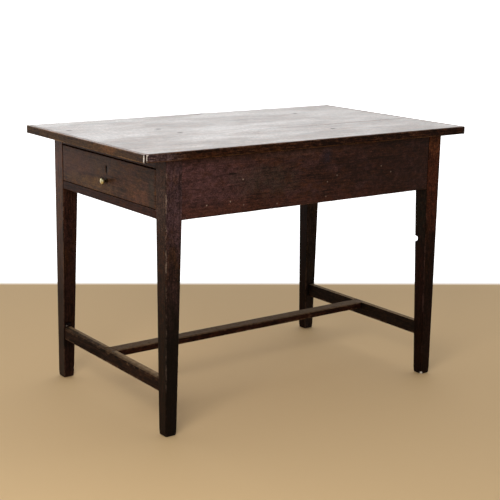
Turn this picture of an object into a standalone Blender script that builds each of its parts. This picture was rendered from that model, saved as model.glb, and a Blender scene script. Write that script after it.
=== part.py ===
"""Farmhouse table: plank top, four tapered legs, H stretcher and one locking drawer in an end.

Metres, Z up. The origin is on the floor under the middle of the top. X runs along the table and Y
across it. Left is the end at -X, which holds the drawer, and front is the long side at -Y.
"""
import math

import bmesh
import bpy
from mathutils import Matrix, Vector

# Overall sizes
table_length = 1.112
table_width = 0.643
table_height = 0.760

# Clearances
seat_gap = 0.0003
joint_gap = 0.0003
running_gap = 0.0013
overrun = 0.004

# Top
top_thickness = 0.0225
front_board_width = 0.2385
end_strip_thickness = 0.008
end_overhang = 0.077
side_overhang = 0.020
top_arris = 0.0015

# Legs and aprons
leg_section = 0.048
foot_section = 0.0335
leg_arris = 0.0012
apron_height = 0.158
apron_thickness = 0.022
face_recess = 0.001
board_arris = 0.0008
apron_tenon_length = 0.030
apron_tenon_thickness = 0.008
apron_tenon_top_shoulder = 0.018
apron_tenon_bottom_shoulder = 0.012

# Rails above and below the drawer
upper_rail_height = 0.028
upper_dovetail_length = 0.028
upper_dovetail_neck = 0.020
upper_dovetail_tip = 0.028
upper_dovetail_height = 0.016
lower_rail_height = 0.023
lower_tenon_length = 0.025
lower_tenon_width = 0.030
lower_tenon_thickness = 0.010

# Stretchers
stretcher_top_level = 0.1585
stretcher_height = 0.037
right_stretcher_height = 0.041
stretcher_thickness = 0.021
stretcher_inset = 0.003
stretcher_tenon_length = 0.020
stretcher_tenon_height = 0.026
stretcher_tenon_thickness = 0.009
foot_worn_radius = 0.006
middle_stretcher_width = 0.0405
middle_stretcher_thickness = 0.019
middle_stretcher_offset = 0.0138
middle_worn_radius = 0.0045
lap_length = 0.017
lap_neck = 0.035
lap_tip = 0.0395
lap_skin = 0.0005
notch_rise = 0.004
notch_height = 0.010
notch_depth = 0.005

# Runners, guides, kickers and stops for the drawer
runner_width = 0.043
runner_thickness = 0.022
runner_stub_length = 0.010
runner_stub_width = 0.012
runner_stub_thickness = 0.010
guide_height = 0.016
guide_length = 0.600
kicker_length = 0.600
stop_length = 0.040
stop_depth = 0.020
stop_height = 0.007
stop_offset = 0.150

# Drawer
drawer_length = 0.560
drawer_top_gap = 0.0035
drawer_front_bottom_relief = 0.0012
drawer_front_thickness = 0.022
drawer_side_thickness = 0.012
drawer_back_thickness = 0.012
drawer_back_drop = 0.006
drawer_bottom_thickness = 0.007
drawer_bottom_rise = 0.010
drawer_groove_depth = 0.006
front_tail_length = 0.017
front_tail_count = 3
back_tail_count = 3
tail_tip_share = 0.80
tail_neck_share = 0.62

# Knob
knob_height = 0.0378
knob_radius = 0.0093
knob_reach = 0.0190
knob_base_radius = 0.0060
knob_base_thickness = 0.0016
knob_neck_radius = 0.0036
knob_neck_length = 0.0062
knob_dimple_radius = 0.0026
knob_dimple_depth = 0.0009
knob_shank_radius = 0.0024
knob_shank_proud = 0.006
knob_nut_width = 0.012
knob_nut_thickness = 0.003

# Drawer lock
lock_width = 0.056
lock_height = 0.050
lock_depth = 0.0100
lock_wall = 0.0015
lock_cover_thickness = 0.0015
lock_cover_flange = 0.0085
bolt_width = 0.024
bolt_thickness = 0.004
bolt_length = 0.036
bolt_throw = 0.008
bolt_notch_width = 0.014
bolt_notch_height = 0.018
bolt_mortise_spare = 0.001
bolt_gap = 0.0004
lock_top_gap = 0.0004
lock_spring_thickness = 0.0006
lock_spring_width = 0.0032
lock_spring_height = 0.023
lock_spring_foot = 0.003
lock_pin_radius = 0.0014
keyhole_drop = 0.0285
keyhole_radius = 0.0034
keyhole_slot_width = 0.0038
keyhole_slot_length = 0.0150

# Screws and nails
screw_head_radius = 0.0042
screw_head_rim = 0.0005
screw_head_height = 0.0026
screw_shank_radius = 0.0021
screw_tip_length = 0.006
screw_slot_width = 0.0009
screw_slot_depth = 0.0008
top_screw_bite = 0.012
counterbore_radius = 0.0058
counterbore_depth = 0.006
pocket_angle = math.radians(18.0)
pocket_seat_depth = 0.026
pocket_reach = 0.060
lock_screw_scale_share = 0.5
lock_screw_length = 0.010
bottom_nail_length = 0.018
bottom_nail_radius = 0.0010
bottom_nail_head_radius = 0.0022
bottom_nail_head_height = 0.0007

# Places along the pieces, as shares of them
kicker_screw_shares = (0.18, 0.82)
long_pocket_shares = (0.76, 0.94)
end_pocket_shares = (0.25, 0.75)
upper_rail_screw_shares = (0.22, 0.78)
bottom_nail_shares = (0.2, 0.5, 0.8)

# Facets of turned and rounded shapes
screw_steps = 10
nail_steps = 8
knob_steps = 28
hole_steps = 16
spring_steps = 10
shown_segments = 2
inner_segments = 1
worn_segments = 3
bevel_angle = math.radians(40.0)
merge_distance = 0.00002

# Levels and faces worked out from the sizes above
frame_top = table_height - top_thickness - seat_gap
frame_bottom = frame_top - apron_height
leg_outer_x = table_length / 2 - end_overhang
leg_outer_y = table_width / 2 - side_overhang
leg_inner_x = leg_outer_x - leg_section
leg_inner_y = leg_outer_y - leg_section
apron_outer_y = leg_outer_y - face_recess
apron_inner_y = apron_outer_y - apron_thickness
apron_outer_x = leg_outer_x - face_recess
apron_inner_x = apron_outer_x - apron_thickness
rail_face_x = -apron_outer_x
rail_back_x = -leg_inner_x
upper_rail_bottom = frame_top - upper_rail_height
lower_rail_top = frame_bottom + lower_rail_height
stretcher_outer_x = leg_outer_x - stretcher_inset
stretcher_inner_x = stretcher_outer_x - stretcher_thickness
stretcher_bottom_levels = {"left": stretcher_top_level - stretcher_height,
                           "right": stretcher_top_level - right_stretcher_height}
drawer_floor = lower_rail_top + seat_gap
drawer_top = upper_rail_bottom - drawer_top_gap
drawer_half_width = leg_inner_y - running_gap
drawer_side_inner_y = drawer_half_width - drawer_side_thickness
drawer_front_x = rail_face_x
drawer_front_back_x = drawer_front_x + drawer_front_thickness
drawer_rear_x = drawer_front_x + drawer_length
drawer_back_inner_x = drawer_rear_x - drawer_back_thickness
drawer_bottom_level = drawer_floor + drawer_bottom_rise
drawer_bottom_top = drawer_bottom_level + drawer_bottom_thickness
drawer_back_bottom = drawer_bottom_top + seat_gap
drawer_back_top = drawer_top - drawer_back_drop
knob_level = drawer_floor + knob_height
keyhole_level = drawer_top - keyhole_drop

X, Y, Z = range(len("xyz"))
sides = (("front", -1), ("back", 1))
ends = (("left", -1), ("right", 1))


def clear_scene():
    for old in list(bpy.data.objects):
        bpy.data.objects.remove(old, do_unlink=True)
    for old in list(bpy.data.collections):
        bpy.data.collections.remove(old)


def new_collection(name):
    made = bpy.data.collections.new(name)
    bpy.context.scene.collection.children.link(made)
    return made


def finish(name, colour, roughness, metallic=0.0):
    """A Principled material with one colour."""
    made = bpy.data.materials.new(name)
    made.use_nodes = True
    shader = made.node_tree.nodes["Principled BSDF"]
    shader.inputs["Base Color"].default_value = (*colour, 1.0)
    shader.inputs["Roughness"].default_value = roughness
    shader.inputs["Metallic"].default_value = metallic
    return made


clear_scene()
table = new_collection("farmhouse_table")
cutters = new_collection("cutters")

top_wood = finish("top_wood", (0.16, 0.10, 0.08), 0.35)
frame_wood = finish("frame_wood", (0.07, 0.032, 0.024), 0.5)
front_wood = finish("drawer_front_wood", (0.09, 0.042, 0.028), 0.5)
inner_wood = finish("inner_wood", (0.30, 0.19, 0.10), 0.7)
brass = finish("brass", (0.62, 0.46, 0.18), 0.3, 1.0)
iron = finish("iron", (0.12, 0.11, 0.10), 0.55, 1.0)
shown_woods = (top_wood, frame_wood, front_wood)


def keep(mesh_maker, name, place, wood, home):
    """An object in its collection, from a bmesh whose points are about place."""
    mesh = bpy.data.meshes.new(name)
    mesh_maker.normal_update()
    mesh_maker.to_mesh(mesh)
    mesh_maker.free()
    made = bpy.data.objects.new(name, mesh)
    made.location = place
    home.objects.link(made)
    if home is cutters:
        made.hide_render = True
        made.display_type = "WIRE"
    else:
        mesh.materials.append(wood)
    return made


def block(low, high):
    """A cube stretched to the box from low to high, about its middle, and that middle."""
    low, high = Vector(low), Vector(high)
    made = bmesh.new()
    bmesh.ops.create_cube(made, size=1)
    bmesh.ops.scale(made, vec=high - low, verts=made.verts)
    return made, (low + high) / 2


def piece(name, low, high, wood, arris=board_arris):
    """A wooden or metal piece that starts as a plain block with softened edges."""
    made, place = block(low, high)
    kept = keep(made, name, place, wood, table)
    soften(kept, arris, shown_segments if wood in shown_woods else inner_segments)
    return kept


def tool(name, low, high):
    """A block that only cuts or joins other pieces."""
    made, place = block(low, high)
    return keep(made, name, place, None, cutters)


def soften(target, width, segments=shown_segments):
    bevel = target.modifiers.new("arris", "BEVEL")
    bevel.width = width
    bevel.segments = segments
    bevel.limit_method = "ANGLE"
    bevel.angle_limit = bevel_angle


def combine(target, other, operation):
    step = target.modifiers.new(other.name, "BOOLEAN")
    step.object = other
    step.operation = operation
    step.solver = "EXACT"


def cut(target, other):
    combine(target, other, "DIFFERENCE")


def join(target, other):
    combine(target, other, "UNION")


def reach_box(low, high, axis, sign, before, after, gap):
    """The box grown by gap all round, by before at its root and by after at its tip."""
    low = [value - gap for value in low]
    high = [value + gap for value in high]
    root, tip = (low, high) if sign > 0 else (high, low)
    root[axis] -= sign * (before - gap)
    tip[axis] += sign * (after - gap)
    return low, high


def tenon_joint(name, rail, socket, low, high, axis, sign):
    """A tenon on rail, from its shoulder along axis, and the mortise that it fills in socket."""
    join(rail, tool(name + "_tenon", *reach_box(low, high, axis, sign, overrun, 0, 0)))
    cut(socket, tool(name + "_mortise",
                     *reach_box(low, high, axis, sign, overrun, joint_gap, joint_gap)))


def dovetail(name, along, across, shoulder, sign, span, centre, neck, tip, length, low, high, gap=0):
    """A tail that widens from neck to tip over length. span is how far it runs, from the shoulder."""
    third = 3 - along - across
    made = bmesh.new()
    bmesh.ops.create_cube(made, size=1)
    for corner in made.verts:
        distance = span[1] if corner.co[along] * sign > 0 else span[0]
        half = (neck + (tip - neck) * distance / length) / 2 + gap
        corner.co[along] = shoulder + sign * distance
        corner.co[across] = centre + math.copysign(half, corner.co[across])
        corner.co[third] = high if corner.co[third] > 0 else low
    return keep(made, name, (0, 0, 0), None, cutters)


def turned(name, outline, place, axis, steps, metal, home):
    """A turned shape from (radius, height) points, top to bottom, with its height along axis."""
    mesh = bpy.data.meshes.new(name)
    points = [(radius, 0, height) for radius, height in outline]
    mesh.from_pydata(points, [(i, i + 1) for i in range(len(points) - 1)], [])
    made = bpy.data.objects.new(name, mesh)
    made.location = place
    made.rotation_mode = "QUATERNION"
    made.rotation_quaternion = Vector(axis).to_track_quat("Z", "Y")
    home.objects.link(made)
    spin = made.modifiers.new("turning", "SCREW")
    spin.axis = "Z"
    spin.steps = steps
    spin.render_steps = steps
    spin.use_merge_vertices = True
    spin.merge_threshold = merge_distance
    spin.use_smooth_shade = True
    if home is cutters:
        made.hide_render = True
        made.display_type = "WIRE"
    else:
        mesh.materials.append(metal)
    return made


def screw_outline(length, scale, gap=0, bore=0, bore_radius=0):
    """The outline of a countersunk screw, or with a bore that of the hole it sits in."""
    head = screw_head_radius * scale + gap
    rim = -screw_head_rim * scale
    shank = screw_shank_radius * scale + gap
    outline = [(0, bore)]
    if bore:
        outline += [(bore_radius, bore), (bore_radius, rim)]
    else:
        outline += [(head, 0), (head, rim)]
    return outline + [(shank, -screw_head_height * scale - gap),
                      (shank, -length + screw_tip_length * scale), (0, -length - gap)]


def screw(name, seat, axis, length, pieces, bore, bore_radius, scale=1):
    """A wood screw with its head's top at seat and axis pointing out of the head."""
    made = turned(name, screw_outline(length, scale), seat, axis, screw_steps, iron, table)
    hole = turned(name + "_hole", screw_outline(length, scale, joint_gap, bore, bore_radius),
                  seat, axis, screw_steps, None, cutters)
    for target in pieces:
        cut(target, hole)
    slot_half = Vector((screw_head_radius * scale + overrun, screw_slot_width * scale / 2, 0))
    depth = Vector((0, 0, screw_slot_depth * scale))
    mouth = Vector((0, 0, overrun))
    slot, middle = block(-slot_half - depth, slot_half + mouth)
    bmesh.ops.translate(slot, vec=middle, verts=slot.verts)
    slot = keep(slot, name + "_slot", seat, None, cutters)
    slot.rotation_mode = "QUATERNION"
    slot.rotation_quaternion = made.rotation_quaternion
    cut(made, slot)
    return made


def share_of(low, high, share):
    return low + (high - low) * share


def carried_by(parent, members):
    """Parents pieces to an empty and leaves them where they are, so each location stays a world place."""
    for member in members:
        member.parent = parent
        member.matrix_parent_inverse = Matrix.Translation(-parent.location)


def leg_section_at(level):
    """The leg's section at a level, over its taper."""
    return foot_section + (leg_section - foot_section) * level / frame_bottom


def make_top():
    """Two planks glued edge to edge, with a thin strip across each end."""
    half_length, half_width = table_length / 2, table_width / 2
    plank_end = half_length - end_strip_thickness - joint_gap
    underside = table_height - top_thickness
    joint = -half_width + front_board_width
    planks = {"front": piece("top_board_front", (-plank_end, -half_width, underside),
                             (plank_end, joint, table_height), top_wood, top_arris),
              "back": piece("top_board_back", (-plank_end, joint + joint_gap, underside),
                            (plank_end, half_width, table_height), top_wood, top_arris)}
    for end, sign in ends:
        inner, outer = sorted((sign * (half_length - end_strip_thickness), sign * half_length))
        piece("end_strip_" + end, (inner, -half_width, underside),
              (outer, half_width, table_height), top_wood, top_arris)
    return planks


def make_leg(end, end_sign, side, side_sign):
    """A post that is square behind the apron and tapers below it on its two inner faces."""
    made = bmesh.new()
    bmesh.ops.create_cube(made, size=1)
    half = Vector((1, 1, 1)) / 2
    bmesh.ops.translate(made, vec=half, verts=made.verts)
    bmesh.ops.scale(made, vec=(leg_section, leg_section, frame_top), verts=made.verts)
    bmesh.ops.bisect_plane(made, geom=made.verts[:] + made.edges[:] + made.faces[:],
                           plane_co=(0, 0, frame_bottom), plane_no=(0, 0, 1))
    for corner in made.verts:
        if corner.co.z < frame_bottom / 2:
            corner.co.x *= foot_section / leg_section
            corner.co.y *= foot_section / leg_section
        corner.co.x *= -end_sign
        corner.co.y *= -side_sign
    if end_sign != side_sign:
        bmesh.ops.reverse_faces(made, faces=made.faces[:])
    leg = keep(made, "leg_%s_%s" % (side, end),
               (end_sign * leg_outer_x, side_sign * leg_outer_y, 0), frame_wood, table)
    soften(leg, leg_arris)
    return leg


def make_long_apron(side, side_sign, legs):
    near, far = sorted((side_sign * apron_outer_y, side_sign * apron_inner_y))
    shoulder = leg_inner_x - joint_gap
    apron = piece("apron_" + side, (-shoulder, near, frame_bottom),
                  (shoulder, far, frame_top), frame_wood)
    middle = (near + far) / 2
    for end, end_sign in ends:
        low_x, high_x = sorted((end_sign * shoulder,
                                end_sign * (leg_inner_x + apron_tenon_length)))
        low = (low_x, middle - apron_tenon_thickness / 2, frame_bottom + apron_tenon_bottom_shoulder)
        high = (high_x, middle + apron_tenon_thickness / 2, frame_top - apron_tenon_top_shoulder)
        tenon_joint("apron_%s_%s" % (side, end), apron, legs[side, end], low, high, X, end_sign)
    return apron


def make_end_apron(legs):
    """The plain apron across the end away from the drawer."""
    shoulder = leg_inner_y - joint_gap
    apron = piece("apron_right", (apron_inner_x, -shoulder, frame_bottom),
                  (apron_outer_x, shoulder, frame_top), frame_wood)
    middle = (apron_inner_x + apron_outer_x) / 2
    for side, side_sign in sides:
        low_y, high_y = sorted((side_sign * shoulder,
                                side_sign * (leg_inner_y + apron_tenon_length)))
        low = (middle - apron_tenon_thickness / 2, low_y, frame_bottom + apron_tenon_bottom_shoulder)
        high = (middle + apron_tenon_thickness / 2, high_y, frame_top - apron_tenon_top_shoulder)
        tenon_joint("apron_right_" + side, apron, legs[side, "right"], low, high, Y, side_sign)
    return apron


def make_upper_rail(legs):
    """The rail over the drawer, dovetailed down into the leg tops, with the bolt's mortise."""
    shoulder = leg_inner_y - joint_gap
    rail = piece("drawer_rail_upper", (rail_face_x, -shoulder, upper_rail_bottom),
                 (rail_back_x, shoulder, frame_top), frame_wood)
    middle = (rail_face_x + rail_back_x) / 2
    low = frame_top - upper_dovetail_height
    for side, side_sign in sides:
        shape = (middle, upper_dovetail_neck, upper_dovetail_tip, upper_dovetail_length)
        join(rail, dovetail("upper_tail_" + side, Y, X, side_sign * shoulder, side_sign,
                            (-overrun, upper_dovetail_length), *shape, low, frame_top - lap_skin))
        cut(legs[side, "left"], dovetail("upper_socket_" + side, Y, X, side_sign * shoulder, side_sign,
                                         (-overrun, upper_dovetail_length + joint_gap), *shape,
                                         low - joint_gap, frame_top + overrun, joint_gap))
    half_width = bolt_width / 2 + bolt_gap
    bolt_front, bolt_rear = bolt_faces()
    cut(rail, tool("bolt_mortise", (bolt_front - bolt_gap, -half_width, upper_rail_bottom - overrun),
                   (bolt_rear + bolt_gap, half_width, upper_rail_bottom + bolt_throw + bolt_mortise_spare)))
    return rail


def make_lower_rail(legs):
    """The rail under the drawer, tenoned into the left legs."""
    shoulder = leg_inner_y - joint_gap
    rail = piece("drawer_rail_lower", (rail_face_x, -shoulder, frame_bottom),
                 (rail_back_x, shoulder, lower_rail_top), frame_wood)
    middle_x = (rail_face_x + rail_back_x) / 2
    middle_z = (frame_bottom + lower_rail_top) / 2
    for side, side_sign in sides:
        low_y, high_y = sorted((side_sign * shoulder,
                                side_sign * (leg_inner_y + lower_tenon_length)))
        low = (middle_x - lower_tenon_width / 2, low_y, middle_z - lower_tenon_thickness / 2)
        high = (middle_x + lower_tenon_width / 2, high_y, middle_z + lower_tenon_thickness / 2)
        tenon_joint("lower_rail_" + side, rail, legs[side, "left"], low, high, Y, side_sign)
    return rail


def wear_round(made, radius, on_edge):
    """Rounds the edges whose two corners both lie on the worn edge."""
    worn = [edge for edge in made.edges if all(on_edge(corner) for corner in edge.verts)]
    bmesh.ops.bevel(made, geom=worn, offset=radius, segments=worn_segments, profile=0.5, affect="EDGES")


def make_end_stretcher(end, end_sign, legs):
    """A rail low down between two legs, cut to their slope, with its top outer edge worn round."""
    near, far = sorted((end_sign * stretcher_inner_x, end_sign * stretcher_outer_x))
    bottom = stretcher_bottom_levels[end]
    made, place = block((near, -leg_outer_y, bottom),
                        (far, leg_outer_y, stretcher_top_level))
    for corner in made.verts:
        shoulder = leg_outer_y - leg_section_at(corner.co.z + place.z) - joint_gap
        corner.co.y = math.copysign(shoulder, corner.co.y)
    wear_round(made, foot_worn_radius, lambda corner: end_sign * corner.co.x > 0 and corner.co.z > 0)
    stretcher = keep(made, "stretcher_" + end, place, frame_wood, table)
    soften(stretcher, board_arris)
    middle_x = (near + far) / 2
    middle_z = (bottom + stretcher_top_level) / 2
    shoulder = leg_outer_y - leg_section_at(middle_z)
    for side, side_sign in sides:
        low_y, high_y = sorted((side_sign * (shoulder - joint_gap),
                                side_sign * (shoulder + stretcher_tenon_length)))
        low = (middle_x - stretcher_tenon_thickness / 2, low_y, middle_z - stretcher_tenon_height / 2)
        high = (middle_x + stretcher_tenon_thickness / 2, high_y, middle_z + stretcher_tenon_height / 2)
        tenon_joint("stretcher_%s_%s" % (end, side), stretcher, legs[side, end], low, high, Y, side_sign)
    return stretcher


def make_old_notch(leg):
    """A shallow notch that an earlier stretcher left in the back left leg."""
    bottom = stretcher_top_level + notch_rise
    face = leg_outer_y - leg_section_at(bottom)
    cut(leg, tool("old_notch", (-stretcher_outer_x, face - overrun, bottom),
                  (-stretcher_inner_x, face + notch_depth, bottom + notch_height)))


def make_middle_stretcher(end_stretchers):
    """The long stretcher, worn along its front edge and lapped into the end ones with dovetails."""
    bottom = stretcher_top_level - middle_stretcher_thickness
    shoulder = stretcher_inner_x - joint_gap
    half = middle_stretcher_width / 2
    made, place = block((-shoulder, middle_stretcher_offset - half, bottom),
                        (shoulder, middle_stretcher_offset + half, stretcher_top_level))
    wear_round(made, middle_worn_radius, lambda corner: corner.co.y < 0 and corner.co.z > 0)
    stretcher = keep(made, "stretcher_middle", place, frame_wood, table)
    soften(stretcher, board_arris)
    shape = (middle_stretcher_offset, lap_neck, lap_tip, lap_length)
    for end, end_sign in ends:
        join(stretcher, dovetail("lap_tail_" + end, X, Y, end_sign * shoulder, end_sign,
                                 (-overrun, lap_length), *shape, bottom + lap_skin,
                                 stretcher_top_level - lap_skin))
        cut(end_stretchers[end], dovetail("lap_socket_" + end, X, Y, end_sign * shoulder, end_sign,
                                          (-overrun, lap_length + joint_gap), *shape,
                                          bottom + lap_skin - joint_gap,
                                          stretcher_top_level + overrun, joint_gap))
    return stretcher


def make_runner(side, side_sign, lower_rail, end_apron):
    """The bearer that a drawer side slides on, from the lower rail to the far apron.

    It is notched round the right leg and has a stub tenon at each end.
    """
    outer = apron_inner_y - seat_gap
    near, far = sorted((side_sign * outer, side_sign * (outer - runner_width)))
    top = lower_rail_top
    bottom = top - runner_thickness
    start, stop = rail_back_x + joint_gap, apron_inner_x - joint_gap
    runner = piece("drawer_runner_" + side, (start, near, bottom), (stop, far, top), inner_wood)
    notch_near, notch_far = sorted((side_sign * (leg_inner_y - joint_gap),
                                    side_sign * (outer + overrun)))
    cut(runner, tool("runner_notch_" + side, (leg_inner_x - joint_gap, notch_near, bottom - overrun),
                     (stop + overrun, notch_far, top + overrun)))
    stub_middle = side_sign * (outer - runner_width + leg_inner_y) / 2
    level = (bottom + top) / 2
    for label, socket, face, sign in (("rail", lower_rail, start, -1), ("apron", end_apron, stop, 1)):
        low_x, high_x = sorted((face, face + sign * (joint_gap + runner_stub_length)))
        low = (low_x, stub_middle - runner_stub_width / 2, level - runner_stub_thickness / 2)
        high = (high_x, stub_middle + runner_stub_width / 2, level + runner_stub_thickness / 2)
        tenon_joint("runner_%s_%s" % (side, label), runner, socket, low, high, X, sign)
    return runner


def make_guide(side, side_sign):
    """The strip on a runner that keeps the drawer straight, in line with the legs' inner faces."""
    near, far = sorted((side_sign * (apron_inner_y - seat_gap), side_sign * leg_inner_y))
    start = rail_back_x + joint_gap
    bottom = lower_rail_top + seat_gap
    piece("drawer_guide_" + side, (start, near, bottom),
          (start + guide_length, far, bottom + guide_height), inner_wood)


def make_kicker(side, side_sign, top_board):
    """The strip over a drawer side that stops the drawer tipping, screwed up into the top."""
    outer = apron_inner_y - seat_gap
    near, far = sorted((side_sign * outer, side_sign * (outer - runner_width)))
    start = rail_back_x + joint_gap
    kicker = piece("drawer_kicker_" + side, (start, near, upper_rail_bottom),
                   (start + kicker_length, far, frame_top), inner_wood)
    seat_level = upper_rail_bottom + counterbore_depth
    length = table_height - top_thickness + top_screw_bite - seat_level
    for number, share in enumerate(kicker_screw_shares, 1):
        seat = (share_of(start, start + kicker_length, share), (near + far) / 2, seat_level)
        screw("kicker_screw_%s_%d" % (side, number), seat, (0, 0, -1), length,
              (kicker, top_board), counterbore_depth + overrun, counterbore_radius)


def make_stop(side, side_sign):
    """A block on the lower rail that the drawer front meets when it is shut."""
    start = drawer_front_back_x + joint_gap
    bottom = lower_rail_top + seat_gap
    middle = side_sign * stop_offset
    piece("drawer_stop_" + side, (start, middle - stop_length / 2, bottom),
          (start + stop_depth, middle + stop_length / 2, bottom + stop_height), inner_wood)


def make_upper_rail_screws(rail, planks):
    """Screws up through the upper rail into the two planks."""
    seat_level = upper_rail_bottom + counterbore_depth
    length = table_height - top_thickness + top_screw_bite - seat_level
    for (side, side_sign), share in zip(sides, upper_rail_screw_shares):
        seat = ((rail_face_x + rail_back_x) / 2, share_of(-leg_inner_y, leg_inner_y, share), seat_level)
        screw("upper_rail_screw_" + side, seat, (0, 0, -1), length, (rail, planks[side]),
              counterbore_depth + overrun, counterbore_radius)


def pocket_screw(name, apron, plank, at_top, inward):
    """A slanted screw in a pocket in an apron's inner face. at_top is where it leaves the apron."""
    lean = Vector(inward) * math.sin(pocket_angle)
    axis = lean + Vector((0, 0, -math.cos(pocket_angle)))
    seat = Vector(at_top) + axis * pocket_seat_depth
    bite = top_screw_bite / math.cos(pocket_angle)
    screw(name, seat, axis, pocket_seat_depth + bite, (apron, plank), pocket_reach, counterbore_radius)


def make_pocket_screws(long_aprons, end_apron, planks):
    for side, side_sign in sides:
        middle = side_sign * (apron_outer_y + apron_inner_y) / 2
        for number, share in enumerate(long_pocket_shares, 1):
            place = (share_of(-leg_inner_x, leg_inner_x, share), middle, frame_top)
            pocket_screw("pocket_screw_%s_%d" % (side, number), long_aprons[side], planks[side],
                         place, (0, -side_sign, 0))
    middle = (apron_outer_x + apron_inner_x) / 2
    for (side, side_sign), share in zip(sides, end_pocket_shares):
        place = (middle, share_of(-leg_inner_y, leg_inner_y, share), frame_top)
        pocket_screw("pocket_screw_right_" + side, end_apron, planks[side], place, (-1, 0, 0))


def tail_rows(bottom, top, count):
    """Middles of count equal tails between two levels, and the room for each."""
    pitch = (top - bottom) / count
    return [bottom + pitch * row + pitch / 2 for row in range(count)], pitch


def make_drawer_front():
    bottom = drawer_floor + drawer_front_bottom_relief
    return piece("drawer_front", (drawer_front_x, -drawer_half_width, bottom),
                 (drawer_front_back_x, drawer_half_width, drawer_top), front_wood, leg_arris)


def make_drawer_back():
    return piece("drawer_back", (drawer_back_inner_x, -drawer_half_width, drawer_back_bottom),
                 (drawer_rear_x, drawer_half_width, drawer_back_top), inner_wood)


def make_drawer_side(side, side_sign, front, back):
    """A drawer side with lapped dovetails to the front, through ones to the back and its groove."""
    near, far = sorted((side_sign * drawer_side_inner_y, side_sign * drawer_half_width))
    shoulder = drawer_front_back_x + joint_gap
    board = piece("drawer_side_" + side, (shoulder, near, drawer_floor),
                  (drawer_rear_x, far, drawer_top), inner_wood)
    hidden, shown = sorted((side_sign * (drawer_side_inner_y - joint_gap),
                            side_sign * (drawer_half_width + overrun)))
    front_bottom = drawer_floor + drawer_front_bottom_relief
    middles, pitch = tail_rows(front_bottom, drawer_top, front_tail_count)
    for row, middle in enumerate(middles):
        label = "%s_%d" % (side, row)
        shape = (middle, pitch * tail_neck_share, pitch * tail_tip_share, front_tail_length)
        join(board, dovetail("front_tail_" + label, X, Z, shoulder, -1,
                             (-overrun, front_tail_length), *shape, near + lap_skin, far - lap_skin))
        cut(front, dovetail("front_socket_" + label, X, Z, shoulder, -1,
                            (-overrun, front_tail_length + joint_gap), *shape, hidden, shown, joint_gap))
    inner = drawer_back_inner_x - joint_gap
    cut(board, tool("back_housing_" + side, (inner, near - overrun, drawer_back_bottom - joint_gap),
                    (drawer_rear_x + overrun, far + overrun, drawer_back_top + joint_gap)))
    middles, pitch = tail_rows(drawer_back_bottom, drawer_back_top, back_tail_count)
    depth = drawer_rear_x - inner
    for row, middle in enumerate(middles):
        label = "%s_%d" % (side, row)
        shape = (middle, pitch * tail_neck_share, pitch * tail_tip_share, depth)
        join(board, dovetail("back_tail_" + label, X, Z, inner, 1, (-overrun, depth - lap_skin),
                             *shape, near + lap_skin, far - lap_skin))
        cut(back, dovetail("back_socket_" + label, X, Z, inner, 1, (-overrun, depth + overrun),
                           *shape, hidden, shown, joint_gap))
    groove_near, groove_far = sorted((side_sign * (drawer_side_inner_y - overrun),
                                      side_sign * (drawer_side_inner_y + drawer_groove_depth)))
    cut(board, tool("side_groove_" + side,
                    (drawer_front_back_x - drawer_groove_depth, groove_near,
                     drawer_bottom_level - joint_gap),
                    (drawer_rear_x + overrun, groove_far, drawer_bottom_top + joint_gap)))
    return board


def make_drawer_bottom(front, back):
    """The bottom, slid into grooves from behind and nailed up into the drawer back."""
    edge = drawer_side_inner_y + drawer_groove_depth
    cut(front, tool("front_groove",
                    (drawer_front_back_x - drawer_groove_depth, -edge, drawer_bottom_level - joint_gap),
                    (drawer_front_back_x + overrun, edge, drawer_bottom_top + joint_gap)))
    board = piece("drawer_bottom",
                  (drawer_front_back_x - drawer_groove_depth + joint_gap, -edge + joint_gap,
                   drawer_bottom_level),
                  (drawer_rear_x, edge - joint_gap, drawer_bottom_top), inner_wood)
    nails = []
    for number, share in enumerate(bottom_nail_shares, 1):
        seat = (drawer_rear_x - drawer_back_thickness / 2,
                share_of(-drawer_side_inner_y, drawer_side_inner_y, share), drawer_bottom_level)
        nails.append(bottom_nail("drawer_nail_%d" % number, seat, (board, back)))
    return [board] + nails


def nail_outline(gap=0):
    head, shank = bottom_nail_head_radius, bottom_nail_radius + gap
    tip = -bottom_nail_length - gap
    if gap:
        return [(0, overrun), (shank, overrun), (shank, tip + bottom_nail_radius), (0, tip)]
    return [(0, seat_gap + bottom_nail_head_height), (head, seat_gap + bottom_nail_head_height),
            (head, seat_gap), (shank, seat_gap), (shank, tip + bottom_nail_radius), (0, tip)]


def bottom_nail(name, seat, pieces):
    """A nail driven up, with its head under the board."""
    made = turned(name, nail_outline(), seat, (0, 0, -1), nail_steps, iron, table)
    hole = turned(name + "_hole", nail_outline(joint_gap), seat, (0, 0, -1), nail_steps, None, cutters)
    for target in pieces:
        cut(target, hole)
    return made


def knob_outline():
    """The knob from its dimpled face, over its round head and neck to its foot, then its shank."""
    face = knob_reach
    neck_top = knob_base_thickness + knob_neck_length
    belly = (face + neck_top) / 2
    half_depth = (face - neck_top) / 2
    points = [(0, face - knob_dimple_depth), (knob_dimple_radius, face - knob_dimple_depth / 2)]
    turns = 9
    start, stop = math.radians(72.0), math.radians(-64.0)
    for step in range(turns):
        angle = start + (stop - start) * step / (turns - 1)
        points.append((knob_radius * math.cos(angle), belly + half_depth * math.sin(angle)))
    return points + [(knob_neck_radius, neck_top - knob_base_thickness),
                     (knob_neck_radius, knob_base_thickness * 2),
                     (knob_base_radius, knob_base_thickness), (knob_base_radius, seat_gap),
                     (knob_shank_radius, seat_gap),
                     (knob_shank_radius, -drawer_front_thickness - knob_shank_proud),
                     (0, -drawer_front_thickness - knob_shank_proud)]


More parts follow.
